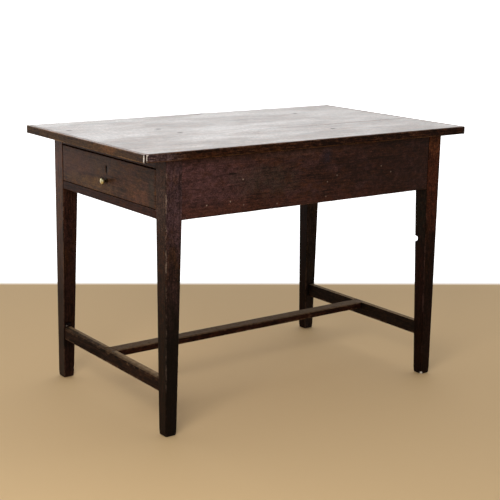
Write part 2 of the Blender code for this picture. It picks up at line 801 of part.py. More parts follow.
def rod_tool(name, radius, start, axis, length):
    """A round tool that runs from start along axis."""
    made = bmesh.new()
    bmesh.ops.create_cone(made, cap_ends=True, segments=hole_steps, radius1=radius, radius2=radius,
                          depth=length)
    kept = keep(made, name, Vector(start) + Vector(axis) * (length / 2), None, cutters)
    kept.rotation_mode = "QUATERNION"
    kept.rotation_quaternion = Vector(axis).to_track_quat("Z", "Y")
    return kept


def bore_tool(name, radius, place, axis, depth):
    """A round hole that runs past both ends of its depth by the overrun."""
    start = Vector(place) - Vector(axis) * overrun
    return rod_tool(name, radius, start, axis, depth + 2 * overrun)


def make_knob(front):
    """A small turned brass knob, with a shank through the front and a square nut behind it."""
    place = (drawer_front_x, 0, knob_level)
    knob = turned("drawer_knob", knob_outline(), place, (-1, 0, 0), knob_steps, brass, table)
    hole_radius = (knob_shank_radius + joint_gap) / math.cos(math.pi / hole_steps)
    hole = bore_tool("knob_hole", hole_radius, place, (1, 0, 0),
                     drawer_front_thickness + knob_nut_thickness)
    cut(front, hole)
    half = knob_nut_width / 2
    start = drawer_front_back_x + seat_gap
    nut = piece("knob_nut", (start, -half, knob_level - half),
                (start + knob_nut_thickness, half, knob_level + half), brass, joint_gap)
    cut(nut, hole)
    return [knob, nut]


def lock_box():
    """The lock case's outer corners. Its open back meets the cover."""
    rear = drawer_front_back_x - lock_cover_thickness - 2 * seat_gap
    top = drawer_top - lock_top_gap
    return (Vector((rear - lock_depth, -lock_width / 2, top - lock_height)),
            Vector((rear, lock_width / 2, top)))


def bolt_faces():
    """The bolt's front and back faces, in the middle of the lock case's depth."""
    low, high = lock_box()
    middle = (low.x + high.x + lock_wall) / 2
    return middle - bolt_thickness / 2, middle + bolt_thickness / 2


def cut_keyhole(name, target, near, far):
    """A round hole with a slot under it, through a wall from near to far along X."""
    start = (near, 0, keyhole_level)
    cut(target, bore_tool(name + "_eye", keyhole_radius, start, (1, 0, 0), far - near))
    half = keyhole_slot_width / 2
    cut(target, tool(name + "_slot", (near - overrun, -half, keyhole_level - keyhole_slot_length),
                     (far + overrun, half, keyhole_level)))


def make_lock_spring(case_low, case_high, bolt_faces_x):
    """A bowed leaf spring that rides beside the bolt and rubs on the case, so the bolt stays put."""
    root = bolt_width / 2 + seat_gap
    belly = case_high.y - lock_wall - seat_gap
    rise = belly - root - lock_spring_thickness
    top = case_high.z - lock_wall - bolt_throw - seat_gap
    span = lock_spring_height - 2 * lock_spring_foot
    outer = []
    for step in range(spring_steps + 1):
        share = step / spring_steps
        bow = math.sin(math.pi * share) ** 2
        outer.append((root + rise * bow, top - lock_spring_foot - span * share))
    outer = [(root, top)] + outer + [(root, top - lock_spring_height)]
    inner = [(across + lock_spring_thickness, level) for across, level in reversed(outer)]
    curve = bpy.data.curves.new("lock_spring", "CURVE")
    curve.dimensions = "2D"
    curve.fill_mode = "BOTH"
    curve.extrude = lock_spring_width / 2
    line = curve.splines.new("POLY")
    line.points.add(len(outer) + len(inner) - 1)
    middle_level = top - lock_spring_height / 2
    for point, (across, level) in zip(line.points, outer + inner):
        point.co = (across - root, level - middle_level, 0, 1)
    line.use_cyclic_u = True
    curve.materials.append(iron)
    spring = bpy.data.objects.new("lock_spring", curve)
    spring.location = (sum(bolt_faces_x) / 2, root, middle_level)
    spring.rotation_euler = (math.pi / 2, 0, math.pi / 2)
    table.objects.link(spring)
    return spring


def make_lock(front):
    """A cut-in drawer lock: case, cover with its key pin, bolt, its spring and four screws."""
    low, high = lock_box()
    gap = Vector((seat_gap, seat_gap, seat_gap))
    cut(front, tool("lock_cavity", low - gap,
                    (drawer_front_back_x + overrun, high.y + seat_gap, drawer_top + overrun)))
    case = piece("lock_case", low, high, iron, joint_gap)
    wall = Vector((lock_wall, lock_wall, lock_wall))
    cut(case, tool("lock_inside", low + wall,
                   (high.x + overrun, high.y - lock_wall, high.z - lock_wall)))
    bolt_front, bolt_rear = bolt_faces()
    half_width = bolt_width / 2
    cut(case, tool("bolt_slot", (bolt_front - bolt_gap, -half_width - bolt_gap, high.z - lock_wall - overrun),
                   (bolt_rear + bolt_gap, half_width + bolt_gap, high.z + overrun)))
    cut_keyhole("front_keyhole", front, drawer_front_x, low.x)
    cut_keyhole("case_keyhole", case, low.x, low.x + lock_wall)

    flange_y = high.y + lock_cover_flange
    cover_low = Vector((high.x + seat_gap, -flange_y, low.z - lock_cover_flange))
    cover_high = Vector((drawer_front_back_x - seat_gap, flange_y, high.z))
    cut(front, tool("cover_recess", cover_low - gap,
                    (drawer_front_back_x + overrun, flange_y + seat_gap, drawer_top + overrun)))
    cover = piece("lock_cover", cover_low, cover_high, iron, joint_gap)
    join(cover, rod_tool("key_pin", lock_pin_radius, (low.x, 0, keyhole_level), (1, 0, 0),
                         cover_low.x - low.x + lock_cover_thickness / 2))

    bolt_top = high.z
    bolt = piece("lock_bolt", (bolt_front, -half_width, bolt_top - bolt_length),
                 (bolt_rear, half_width, bolt_top), iron, joint_gap)
    notch_half = bolt_notch_width / 2
    cut(bolt, tool("bolt_notch", (bolt_front - overrun, -notch_half, bolt_top - bolt_length - overrun),
                   (bolt_rear + overrun, notch_half, bolt_top - bolt_length + bolt_notch_height)))

    spring = make_lock_spring(low, high, (bolt_front, bolt_rear))

    screws = []
    for side, side_sign in sides:
        for row, level in (("lower", cover_low.z + lock_cover_flange),
                           ("upper", cover_high.z - lock_cover_flange)):
            seat = (cover_high.x, side_sign * (high.y + lock_cover_flange / 2), level)
            screws.append(screw("lock_screw_%s_%s" % (row, side), seat, (1, 0, 0), lock_screw_length,
                                (cover, front), overrun,
                                screw_head_radius * lock_screw_scale_share + joint_gap,
                                lock_screw_scale_share))
    return [case, cover] + screws, [bolt, spring]


def empty(name, place):
    made = bpy.data.objects.new(name, None)
    made.location = place
    table.objects.link(made)
    return made


def make_drawer():
    """The drawer and all that moves with it, carried by an empty on its slide's axis."""
    front, back = make_drawer_front(), make_drawer_back()
    members = [front, back]
    members += [make_drawer_side(side, side_sign, front, back) for side, side_sign in sides]
    members += make_drawer_bottom(front, back)
    members += make_knob(front)
    lock, bolt_pieces = make_lock(front)
    slide = empty("drawer_slide", (drawer_front_x, 0, (drawer_floor + drawer_top) / 2))
    carried_by(slide, members + lock)
    bolt_slide = empty("lock_bolt_slide", bolt_pieces[0].location)
    carried_by(bolt_slide, bolt_pieces)
    carried_by(slide, [bolt_slide])


def main():
    planks = make_top()
    legs = {(side, end): make_leg(end, end_sign, side, side_sign)
            for side, side_sign in sides for end, end_sign in ends}
    long_aprons = {side: make_long_apron(side, side_sign, legs) for side, side_sign in sides}
    end_apron = make_end_apron(legs)
    upper_rail = make_upper_rail(legs)
    lower_rail = make_lower_rail(legs)
    end_stretchers = {end: make_end_stretcher(end, end_sign, legs) for end, end_sign in ends}
    make_old_notch(legs["back", "left"])
    make_middle_stretcher(end_stretchers)
    for side, side_sign in sides:
        make_runner(side, side_sign, lower_rail, end_apron)
        make_guide(side, side_sign)
        make_kicker(side, side_sign, planks[side])
        make_stop(side, side_sign)
    make_upper_rail_screws(upper_rail, planks)
    make_pocket_screws(long_aprons, end_apron, planks)
    make_drawer()


main()
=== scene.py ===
import math
from dataclasses import dataclass, replace

import bmesh
import bpy
from mathutils import Matrix, Vector, noise
from mathutils.bvhtree import BVHTree


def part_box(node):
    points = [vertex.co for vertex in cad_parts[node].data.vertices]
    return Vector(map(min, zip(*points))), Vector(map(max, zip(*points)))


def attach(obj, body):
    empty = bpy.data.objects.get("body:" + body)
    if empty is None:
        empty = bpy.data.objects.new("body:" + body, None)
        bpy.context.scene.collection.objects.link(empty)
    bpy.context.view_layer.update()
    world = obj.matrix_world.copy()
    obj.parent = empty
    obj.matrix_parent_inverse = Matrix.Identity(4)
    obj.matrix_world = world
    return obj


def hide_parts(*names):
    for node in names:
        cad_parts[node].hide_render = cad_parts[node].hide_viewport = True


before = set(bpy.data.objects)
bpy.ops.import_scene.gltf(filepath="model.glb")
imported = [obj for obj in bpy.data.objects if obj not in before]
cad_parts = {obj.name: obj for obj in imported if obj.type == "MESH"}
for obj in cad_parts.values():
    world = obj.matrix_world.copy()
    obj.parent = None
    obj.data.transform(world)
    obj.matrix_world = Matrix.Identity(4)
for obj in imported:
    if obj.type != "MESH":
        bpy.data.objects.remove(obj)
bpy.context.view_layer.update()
X, Y, Z = range(3)
axis_names = "XYZ"

# The photograph's camera, in metres, radians and pixels
camera_place = (-2.0688, -2.8181, 1.2096)
camera_yaw = -0.6350
camera_pitch = -0.2308
camera_roll = 0.0174
focal_pixels = 1203.75
frame_pixels = 500
sensor_width = 36.0
camera_clip = 0.05

# The joint between the two boards of the top opens towards the right
joint_reach = 0.0017
joint_opens = 0.16
joint_opening = 0.10
joint_open_share = 0.75
joint_gap = 0.0003
joint_fill = 0.96
tight_joint_wear = -0.02

# A chip's floor rises to the surface over this share of its half length
chip_end_share = 0.35

# Light of the room, brighter towards the wall behind the table and in a low band all round
room_level = 0.42
wall_level = 1.75
wall_cosines = (-0.2, 0.7)
band_heights = (0.18, 0.60)
above_band = 0.45
window_watts = 26
window_place = (-1.9, -1.5, 1.7)
window_aim = (-0.4, -0.2, 0.68)
window_size = (1.2, 1.0)
window_colour = (1.0, 0.98, 0.95)

# Floor
floor_colour = (0.80, 0.56, 0.295, 1)
floor_reach = 30
floor_roughness = 0.75
floor_gloss = 0.2
wall_foot = (1.05, 1.11)
wall_colour = (0.95, 0.95, 0.95, 1)
wall_yaw = camera_yaw + 0.065

# Cutting a solid finely enough to wear it
merge_distance = 1e-6
flat_angle = math.radians(0.5)
hull_tolerance = 0.0002
least_hull_area = 0.0002
covered_share = 0.9
unlike_cosine = 0.8
support_depths = (0.0022, 0.0045, 0.0085)
smooth_angle = math.radians(50)

# How far a point looks for something that shuts it in, and how soon that keeps it from wear
ray_count = 14
ray_start = 0.0007
ray_reach = 0.05
golden_angle = math.pi * (3 - math.sqrt(5))
shut_weight = 1.6

# How unevenly an arris wears, where dents start, and over how much of its radius it looks worn
radius_variation = 0.7
dent_weight = 3
dent_onset = 0.1
dent_spread = 0.4
mean_swell = 0.5
swell_variation = 0.7
swell_length = 0.05
painted_reach = 1.2

# Which faces paint_facing takes, and where a missing plane is thought to be
facing_cosine = 0.6
far_away = 1.0

# Nearly all of a noise's values lie in the first of these ranges, and most of them in the others
noise_range = (0.30, 0.70)
noise_core = (0.36, 0.64)
rim_core = (0.32, 0.68)
patch_core = (0.38, 0.62)

# The textures of the wood, as scales along and across the grain, and how its rings run
warp_scales = (1.6, 9)
ring_bend = 0.05
ring_stretch = 0.06
ring_scale = 48
ring_wobble = 3.0
ring_wobble_scale = 1.6
fibre_scales = (26, 380)
streak_scales = (3.5, 75)
mottle_scales = (58, 100)
patch_scales = (13, 28)
glow_scales = (17, 36)
grit_scale = 210

# What share of the grain's colour and of its relief each of them makes
ring_share = 0.12
fibre_share = 0.28
streak_share = 0.28
mottle_share = 0.32
fibre_relief = 0.5
grit_relief = 0.3
ring_relief = 0.10

# How much darker and lighter each of them makes the wood
mottle_depths = (0.45, 0.50)
speckle_depths = (0.56, 0.62)
line_range = (0.34, 0.66)
line_depth = 0.35
crack_range = (0.34, 0.43)
crack_depth = 0.40

# What a rubbed arris needs, and what each texture takes from it or gives to it
rubbed_from = 0.30
rubbed_fully = 0.85
mottle_rub = (-0.85, 0.25)
patch_rub = (-0.45, 0.25)
grit_rub = (-0.25, 0.25)

# Grime and painted shade fill the corners from the first of these shares of shutting in to the second
grime_and_shade_range = (0.25, 0.95)

# Legs darken downwards between these heights, and their rubbed arrises keep a share of their colour
dark_levels = (0.26, 0.60)
dark_rubbed = 0.35

# How a tinted region fades at its rim, and what its holes leave of it
zone_rim = (0.45, 1.1)
zone_holes = (0.38, 0.56)
zone_hole_share = 0.35

# The relief of a wood in metres, and its polish
relief_depth = 0.0005
relief_strength = 0.6
coat_roughness = 0.3
gloss_spread = 0.1
polish_mottling = 0.76
polish_grit = (0.60, 1.24)
grit_roughness = (-0.06, 0.08)


@dataclass
class Wear:
    """How age has moved a piece's surface, in metres."""
    step: float
    radius: float = 0.0012
    dents: float = 0.0010
    dent_length: float = 0.012
    swell: float = 0.00015
    seed: float = 0.0
    extra: object = None
    chips: tuple = ()
    painted: float = 0.0026
    settle: object = None
    bare: object = None


def placed(name, data):
    """A new object in the scene."""
    made = bpy.data.objects.new(name, data)
    bpy.context.scene.collection.objects.link(made)
    return made


def node_tree():
    """All the solids as one tree that rays can be cast at."""
    points, faces = [], []
    for node in sorted(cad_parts):
        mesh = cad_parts[node].data
        first = len(points)
        points += [vertex.co.copy() for vertex in mesh.vertices]
        faces += [[first + index for index in polygon.vertices] for polygon in mesh.polygons]
    return BVHTree.FromPolygons(points, faces)


def ray_fan():
    """Directions spread evenly over the half sphere about +Z."""
    fan = []
    for ray in range(ray_count):
        height = (ray + 0.5) / ray_count
        turn = ray * golden_angle
        width = math.sqrt(1 - height * height)
        fan.append(Vector((width * math.cos(turn), width * math.sin(turn), height)))
    return fan


all_solids = node_tree()
fan = ray_fan()
joint_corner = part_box("top_board_front")[1]


def shut_in(place, normal):
    """0 where the surface is open to the room, 1 where a neighbour covers it."""
    turn = normal.to_track_quat("Z", "X")
    start = place + normal * ray_start
    hits = 0
    for direction in fan:
        if all_solids.ray_cast(start, turn @ direction, ray_reach)[0]:
            hits += 1
    return hits / ray_count


def bare_solid(node):
    """The node's solid with its doubled points merged and its flat faces whole."""
    made = bmesh.new()
    made.from_mesh(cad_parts[node].data)
    bmesh.ops.remove_doubles(made, verts=made.verts, dist=merge_distance)
    bmesh.ops.dissolve_limit(made, angle_limit=flat_angle, verts=made.verts, edges=made.edges)
    made.normal_update()
    return made


def hull_planes(made):
    """The planes of the large flat faces that have the whole piece behind them and air before them."""
    planes = []
    for face in sorted(made.faces, key=lambda face: -face.calc_area()):
        if face.calc_area() < least_hull_area:
            break
        normal = face.normal.copy()
        level = normal.dot(face.verts[0].co)
        if any(normal.dot(vertex.co) > level + hull_tolerance for vertex in made.verts):
            continue
        if shut_in(face.calc_center_median(), normal) > covered_share:
            continue
        if all(normal.dot(other) < math.cos(flat_angle) for other, _ in planes):
            planes.append((normal, level))
    return planes


def slice_solid(made, place, normal):
    """Cuts every face that a plane crosses, and takes nothing away."""
    everything = made.verts[:] + made.edges[:] + made.faces[:]
    bmesh.ops.bisect_plane(made, geom=everything, dist=merge_distance, plane_co=place, plane_no=normal)


def unit(axis):
    """A vector of length 1 along an axis."""
    return Vector([float(index == axis) for index in (X, Y, Z)])


def slice_across(made, axis, step):
    """Cuts the faces at equal distances along an axis."""
    low = min(vertex.co[axis] for vertex in made.verts)
    high = max(vertex.co[axis] for vertex in made.verts)
    count = max(2, round((high - low) / step))
    for cut in range(1, count):
        slice_solid(made, unit(axis) * (low + (high - low) * cut / count), unit(axis))


def slice_beside_arrises(made, planes):
    """Cuts the faces along each arris, at the depths that wear reaches."""
    for normal, level in planes:
        for depth in support_depths:
            slice_solid(made, normal * (level - depth), normal)


def rough(place, length, seed):
    """Smooth noise about 0, with features of this length."""
    return noise.noise(place / length + Vector((seed, seed * 1.7, -seed)))


def nearest_planes(place, planes):
    """The three nearest planes that face unlike ways, as depths and numbers.

    A plane that lies far away stands in for each that is missing.
    """
    kept = []
    depths = [(level - normal.dot(place), index) for index, (normal, level) in enumerate(planes)]
    for depth, index in sorted(depths):
        if all(planes[index][0].dot(planes[other][0]) < unlike_cosine for _, other in kept):
            kept.append((depth, index))
    return (kept + [(far_away, 0)] * 3)[:3]


def worn_place(place, planes, wear, openness):
    """Where age has moved a point, always inwards, and how much of an arris it lies on."""
    near = nearest_planes(place, planes)
    if near[0][0] > support_depths[0]:
        return place, 0.0
    slow = rough(place, wear.dent_length * 4, wear.seed)
    quick = rough(place, wear.dent_length, wear.seed + 5)
    dent = max(0.0, quick - dent_onset) * max(0.0, slow + dent_spread)
    radius = wear.radius * (1 + radius_variation * slow) + wear.dents * dent_weight * dent
    if wear.extra:
        radius += wear.extra(place)
    radius *= openness
    moved = place.copy()
    within = [(depth - radius, index) for depth, index in near if depth < radius]
    reach = math.sqrt(sum(depth * depth for depth, _ in within))
    if reach > radius:
        for depth, index in within:
            moved -= planes[index][0] * (depth * radius / reach - depth)
    swell = wear.swell * (mean_swell + swell_variation * rough(place, swell_length, wear.seed + 9))
    moved -= planes[near[0][1]][0] * max(0.0, swell) * openness
    on_arris = math.exp(-(near[1][0] / max(wear.painted, radius * painted_reach)) ** 2)
    return moved, on_arris


def chipped(place, chip):
    """A point beyond a chip's slanted floor is brought down to it, with soft ends along the arris."""
    centre, outward, depth, half_length = chip
    away = abs(place[Z] - centre[Z]) / half_length
    if away >= 1:
        return place
    floor = depth * min(1.0, (1 - away) / chip_end_share)
    beyond = outward.dot(place - centre) + floor
    return place - outward * beyond if beyond > 0 else place


def joint_filled(place):
    """The groove between the two boards, closed where the joint is still tight, and how open it is."""
    level = joint_corner[Z]
    if abs(place[Y] - joint_corner[Y]) > joint_reach or level - place[Z] > joint_reach:
        return place, 1.0
    open_share = joint_openness(place)
    filled = place.copy()
    filled[Z] += (level - place[Z]) * (joint_fill - joint_open_share * open_share)
    if abs(place[Y] - joint_corner[Y]) < 2 * joint_gap:
        filled[Y] = joint_corner[Y] + (place[Y] - joint_corner[Y]) * max(open_share, 1 - joint_fill)
    return filled, open_share


def aged(node, body, axis, wear, cross=None, levels=()):
    """A copy of a wooden node with worn arrises, dents and a hand-planed surface, in its place."""
    made = bare_solid(node)
    planes = hull_planes(made)
    slice_beside_arrises(made, planes)
    slice_across(made, axis, wear.step)
    if cross:
        slice_across(made, *cross)
    for level in levels:
        slice_solid(made, unit(axis) * level, unit(axis))
    for centre, outward, depth, _ in wear.chips:
        slice_solid(made, centre - outward * depth, outward)
    made.normal_update()
    arris_layer = made.verts.layers.float.new("arris")
    shut_layer = made.verts.layers.float.new("shut")
    places = []
    for vertex in made.verts:
        shut = shut_in(vertex.co, vertex.normal)
        openness = max(0.0, 1 - shut_weight * shut)
        place, on_arris = worn_place(vertex.co, planes, wear, openness)
        for chip in wear.chips:
            place = chipped(place, chip)
        open_share = 1.0
        if node.startswith("top_board"):
            place, open_share = joint_filled(place)
        if wear.bare:
            on_arris *= wear.bare(vertex.co)
        if wear.settle:
            place = place - Vector((0, 0, wear.settle(vertex.co)))
        vertex[arris_layer] = on_arris * openness * open_share
        vertex[shut_layer] = shut * open_share
        places.append(place)
    for vertex, place in zip(made.verts, places):
        vertex.co = place
    mesh = bpy.data.meshes.new(node + "_aged")
    made.to_mesh(mesh)
    made.free()
    mesh.shade_smooth()
    mesh.set_sharp_from_angle(angle=smooth_angle)
    piece = placed(node + "_aged", mesh)
    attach(piece, body)
    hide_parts(node)
    return piece


class Nodes:
    """A node tree in the making, with short calls for the nodes that it needs."""

    def __init__(self, tree):
        self.tree = tree

    def feed(self, socket, value):
        """Links a socket to another, or sets it to a number or colour."""
        if isinstance(value, bpy.types.NodeSocket):
            self.tree.links.new(value, socket)
        else:
            socket.default_value = value

    def node(self, kind, inputs=None, **settings):
        """The outputs of a new node that has these settings and inputs."""
        made = self.tree.nodes.new("ShaderNode" + kind)
        for name, value in settings.items():
            setattr(made, name, value)
        for name, value in (inputs or {}).items():
            self.feed(made.inputs[name], value)
        return made.outputs

    def math(self, operation, first, second, clamp=False):
        return self.node("Math", {0: first, 1: second}, operation=operation, use_clamp=clamp)[0]

    def add(self, first, second, clamp=False):
        return self.math("ADD", first, second, clamp)

    def times(self, first, second):
        return self.math("MULTIPLY", first, second)

    def larger(self, first, second):
        return self.math("MAXIMUM", first, second)

    def span(self, value, low, high, start=0.0, end=1.0, **settings):
        """value taken from the range low to high to the range start to end, and kept in it."""
        ends = {"From Min": low, "From Max": high, "To Min": start, "To Max": end}
        return self.node("MapRange", {"Value": value, **ends}, **settings)["Result"]

    def between(self, operation, first, second):
        """A number that two vectors make."""
        return self.node("VectorMath", {0: first, 1: second}, operation=operation)["Value"]


class Shader(Nodes):
    """A material in the making."""

    def __init__(self, name):
        self.material = bpy.data.materials.new(name)
        self.material.use_nodes = True
        super().__init__(self.material.node_tree)
        self.surface = self.tree.nodes["Principled BSDF"].inputs
        self.position = self.node("TexCoord")["Object"]
        self.place = self.node("SeparateXYZ", {0: self.position})

    def put(self, name, value):
        """Sets or links one of the surface's own inputs."""
        self.feed(self.surface[name], value)

    def stretched(self, scales, shift=(0, 0, 0), turn=(0, 0, 0)):
        """The place on the surface, scaled, shifted and turned."""
        return self.node("Mapping", {"Vector": self.position, "Scale": scales, "Location": shift,
                                     "Rotation": turn})[0]

    def noise(self, vector, scale=1.0, detail=2.0, roughness=0.5):
        return self.node("TexNoise", {"Vector": vector, "Scale": scale, "Detail": detail,
                                      "Roughness": roughness})["Fac"]

    def mix(self, share, first, second, mode="MIX"):
        return self.node("Mix", {"Factor": share, 6: first, 7: second}, data_type="RGBA",
                         blend_type=mode, clamp_factor=True)[2]

    def attribute(self, name):
        return self.node("Attribute", attribute_name=name)["Fac"]

    def spots(self, places, radius, stretch=(1, 1, 1), soft=0.4, ragged=0.0, fineness=600):
        """1 inside each round or stretched spot, falling to 0 at a rim that noise can break up."""
        vector = self.stretched(stretch)
        if ragged:
            rim = self.noise(self.position, scale=fineness, detail=6, roughness=0.75)
            rim = self.span(rim, *rim_core, -ragged * radius, ragged * radius)
        total = None
        for place in places:
            centre = [value * scale for value, scale in zip(place, stretch)]
            away = self.between("DISTANCE", vector, centre)
            if ragged:
                away = self.add(away, rim)
            spot = self.span(away, radius * (1 - soft), radius, 1, 0)
            total = self.larger(total, spot) if total else spot
        return total

    def zone(self, colour, centre, radii, tint, strength, ragged=0.55):
        """Tints an egg-shaped region that has a ragged rim and lets the wood show through in places."""
        scales = [1 / radius for radius in radii]
        vector = self.stretched(scales, [-place * scale for place, scale in zip(centre, scales)])
        away = self.between("DISTANCE", vector, (0, 0, 0))
        rim = self.noise(self.position, scale=24, detail=8, roughness=0.72)
        away = self.add(away, self.span(rim, *rim_core, -ragged, ragged))
        holes = self.noise(self.position, scale=70, detail=6, roughness=0.7)
        share = self.times(self.span(away, *zone_rim, strength, 0),
                           self.span(holes, *zone_holes, zone_hole_share, 1))
        return self.mix(share, colour, tint)

    def bump(self, height, distance, strength, coated=False):
        normal = self.node("Bump", {"Strength": strength, "Distance": distance, "Height": height})["Normal"]
        self.put("Normal", normal)
        if coated:
            self.put("Coat Normal", normal)


def along(axis, lengthwise, crosswise):
    """Scales that stretch a texture along the grain."""
    return [lengthwise if index == axis else crosswise for index in (X, Y, Z)]


def srgb(red, green, blue):
    """A linear colour from one written as 0 to 255 screen levels."""
    linear = []
    for level in (red / 255, green / 255, blue / 255):
        linear.append(level / 12.92 if level < 0.04045 else ((level + 0.055) / 1.055) ** 2.4)
    return linear + [1]


@dataclass
class Tone:
    """The colours of one wood and its polish."""
    deep: list
    middle: list
    light: list
    bloom: list
    amber: list
    worn: list
    roughness: float = 0.5
    wear: float = 0.8
    dark_low: float = 0.0
    coat: float = 0.0
    gloss: float = 0.12
    grain: float = 1.0
    mottling: float = 1.0
    # How far grime and painted shade darken the surface where neighbours shut it in
    shade: float = 0.85
    relief: float = 1.0
    rub: float = 0.0
    size: float = 1.0

    def times(self, red, green, blue, **changes):
        """The same wood darker, lighter or of another hue, with some other values changed."""
        factors = (red, green, blue, 1)
        for name in ("deep", "middle", "light", "bloom", "amber"):
            changes[name] = [value * factor for value, factor in zip(getattr(self, name), factors)]
        return replace(self, **changes)


def wood(*colours, **others):
    """A tone from six colours in screen levels, and what differs from the usual."""
    return Tone(*[srgb(*colour) for colour in colours], **others)


@dataclass
class Look:
    """What a material's last marks may still change."""
    colour: object
    roughness: object
    polish: object


def old_wood(name, axis, tone, seed, pith, zones=None, marks=None):
    """Stained and worn wood whose grain runs along axis, around a heart that pith shifts."""
    net = Shader(name)
    shift = (seed * 3.1, seed * 1.3, seed * 2.3)

    def texture(scales, shift=shift, **settings):
        return net.noise(net.stretched(along(axis, *scales), shift), **settings)

    inputs = {0: texture(warp_scales), 1: along(axis, 0.0, ring_bend),
              2: net.stretched(along(axis, ring_stretch, 1), pith)}
    bent = net.node("VectorMath", inputs, operation="MULTIPLY_ADD")[0]
    inputs = {"Vector": bent, "Scale": ring_scale, "Distortion": ring_wobble,
              "Detail Scale": ring_wobble_scale}
    ring = net.node("TexWave", inputs, wave_type="RINGS", rings_direction=axis_names[axis],
                    wave_profile="SAW")["Fac"]
    fibre = texture(fibre_scales, detail=4, roughness=0.62)
    streak = texture(streak_scales, detail=5, roughness=0.62)
    mottle = texture([scale / tone.size for scale in mottle_scales], detail=7, roughness=0.74)
    patch = texture(patch_scales, detail=7, roughness=0.70)
    glow = texture(glow_scales, shift[::-1], detail=7, roughness=0.70)
    grit = texture((1, 1), scale=grit_scale / tone.size, detail=4, roughness=0.7)

    grain = net.add(net.times(ring, ring_share), net.times(fibre, fibre_share))
    grain = net.add(grain, net.times(streak, streak_share))
    grain = net.add(grain, net.times(mottle, mottle_share))
    colour = tone.deep
    layers = ((grain, 0.36, 0.53, 1.0, tone.middle),
              (grain, 0.50, 0.66, 0.9, tone.light),
              (patch, 0.46, 0.57, 0.8, tone.bloom),
              (glow, 0.50, 0.60, 0.8, tone.amber))
    for value, start, full, share, tint in layers:
        colour = net.mix(net.span(value, start, full, 0, share), colour, tint)
    if zones:
        colour = zones(net, colour)

    def depth(value, extent, amount, darker, lighter=0):
        return net.span(value, *extent, 1 - darker * amount, 1 + lighter * amount)

    shade = net.times(depth(mottle, noise_core, tone.mottling, *mottle_depths),
                      depth(grit, noise_core, tone.mottling, *speckle_depths))
    lines = net.times(depth(fibre, line_range, tone.grain, line_depth, line_depth),
                      depth(streak, crack_range, tone.grain, crack_depth))
    colour = net.mix(1.0, colour, net.times(shade, lines), "MULTIPLY")

    rubbed = net.add(net.attribute("arris"), net.span(mottle, *noise_range, *mottle_rub))
    rubbed = net.add(rubbed, net.span(patch, *patch_core, *patch_rub))
    rubbed = net.add(rubbed, net.span(grit, *noise_range, *grit_rub))
    rubbed = net.span(rubbed, rubbed_from - tone.rub, rubbed_fully - tone.rub, 0, tone.wear)
    colour = net.mix(rubbed, colour, tone.worn)
    # Grime and painted shade in the wood's deep colour, where neighbours shut the surface in
    colour = net.mix(net.span(net.attribute("shut"), *grime_and_shade_range, 0, tone.shade), colour, tone.deep)
    if tone.dark_low:
        low = net.span(net.place[Z], *dark_levels, 1 - tone.dark_low, 1)
        colour = net.mix(1.0, colour, low, "MULTIPLY")
        colour = net.mix(net.times(rubbed, dark_rubbed), colour, tone.worn)
    roughness = net.span(mottle, *noise_range, tone.roughness - gloss_spread, tone.roughness + gloss_spread)
    roughness = net.add(roughness, net.span(grit, *noise_range, *grit_roughness), clamp=True)
    height = net.add(net.times(fibre, fibre_relief), net.times(grit, grit_relief))
    height = net.add(height, net.times(ring, ring_relief))
    polish = net.times(net.span(mottle, *noise_core, tone.coat * polish_mottling, tone.coat),
                       net.span(grit, *noise_core, *polish_grit))
    look = Look(colour, roughness, polish)
    if marks:
        marks(net, look)
    net.put("Base Color", look.colour)
    net.put("Roughness", look.roughness)
    net.put("Specular IOR Level", tone.gloss)
    if tone.coat:
        net.put("Coat Weight", look.polish)
        net.put("Coat Roughness", coat_roughness)
    net.bump(height, relief_depth * tone.relief, relief_strength, coated=tone.coat > 0)
    return net.material


def tinted(*regions):
    """Regions of other colours: the centre, radii, colour and strength of each, and how ragged its rim is."""
    def zones(net, colour):
        for centre, radii, tint, strength, *ragged in regions:
            colour = net.zone(colour, centre, radii, srgb(*tint), strength, *ragged)
        return colour
    return zones


# The apron: purple bloom at the left, rust along the foot, ashen and darker regions and a stain
apron_zones = tinted(
    ((-0.37, -0.30, 0.67), (0.20, 1, 0.10), (84, 56, 58), 0.75),
    ((-0.27, -0.30, 0.592), (0.26, 1, 0.030), (74, 40, 29), 0.6),
    ((0.14, -0.30, 0.592), (0.22, 1, 0.024), (72, 36, 24), 0.55),
    ((-0.16, -0.30, 0.66), (0.12, 1, 0.045), (56, 47, 40), 0.6),
    ((0.33, -0.30, 0.67), (0.30, 1, 0.14), (37, 17, 12), 0.8),
    ((0.044, -0.30, 0.712), (0.022, 1, 0.027), (46, 34, 42), 1.0, 0.25),
    ((-0.12, -0.30, 0.728), (0.30, 1, 0.016), (88, 62, 56), 0.5),
    ((-0.280, -0.30, 0.686), (0.024, 1, 0.0028), (16, 8, 7), 1.0, 0.15))

# The drawer front: pinkish at the left, ochre low down, an orange patch and an ashen right end
drawer_zones = tinted(
    ((-0.478, 0.17, 0.665), (1, 0.10, 0.045), (86, 61, 53), 0.7),
    ((-0.478, 0.09, 0.622), (1, 0.13, 0.022), (100, 74, 46), 0.75),
    ((-0.478, 0.02, 0.68), (1, 0.10, 0.035), (74, 60, 52), 0.6),
    ((-0.478, -0.165, 0.620), (1, 0.055, 0.034), (96, 62, 46), 0.65),
    ((-0.478, -0.232, 0.65), (1, 0.016, 0.06), (54, 48, 41), 0.7))

# The near leg: ashen pink beside the apron, nearly black low down, and its end greenish grey
near_left_zones = tinted(
    ((-0.45, -0.3015, 0.62), (0.06, 0.06, 0.14), (75, 56, 62), 0.7),
    ((-0.46, -0.30, 0.22), (0.06, 0.06, 0.17), (48, 39, 34), 0.5))
near_left_end_zones = tinted(((-0.479, -0.28, 0.62), (0.06, 0.06, 0.12), (65, 50, 44), 0.6))

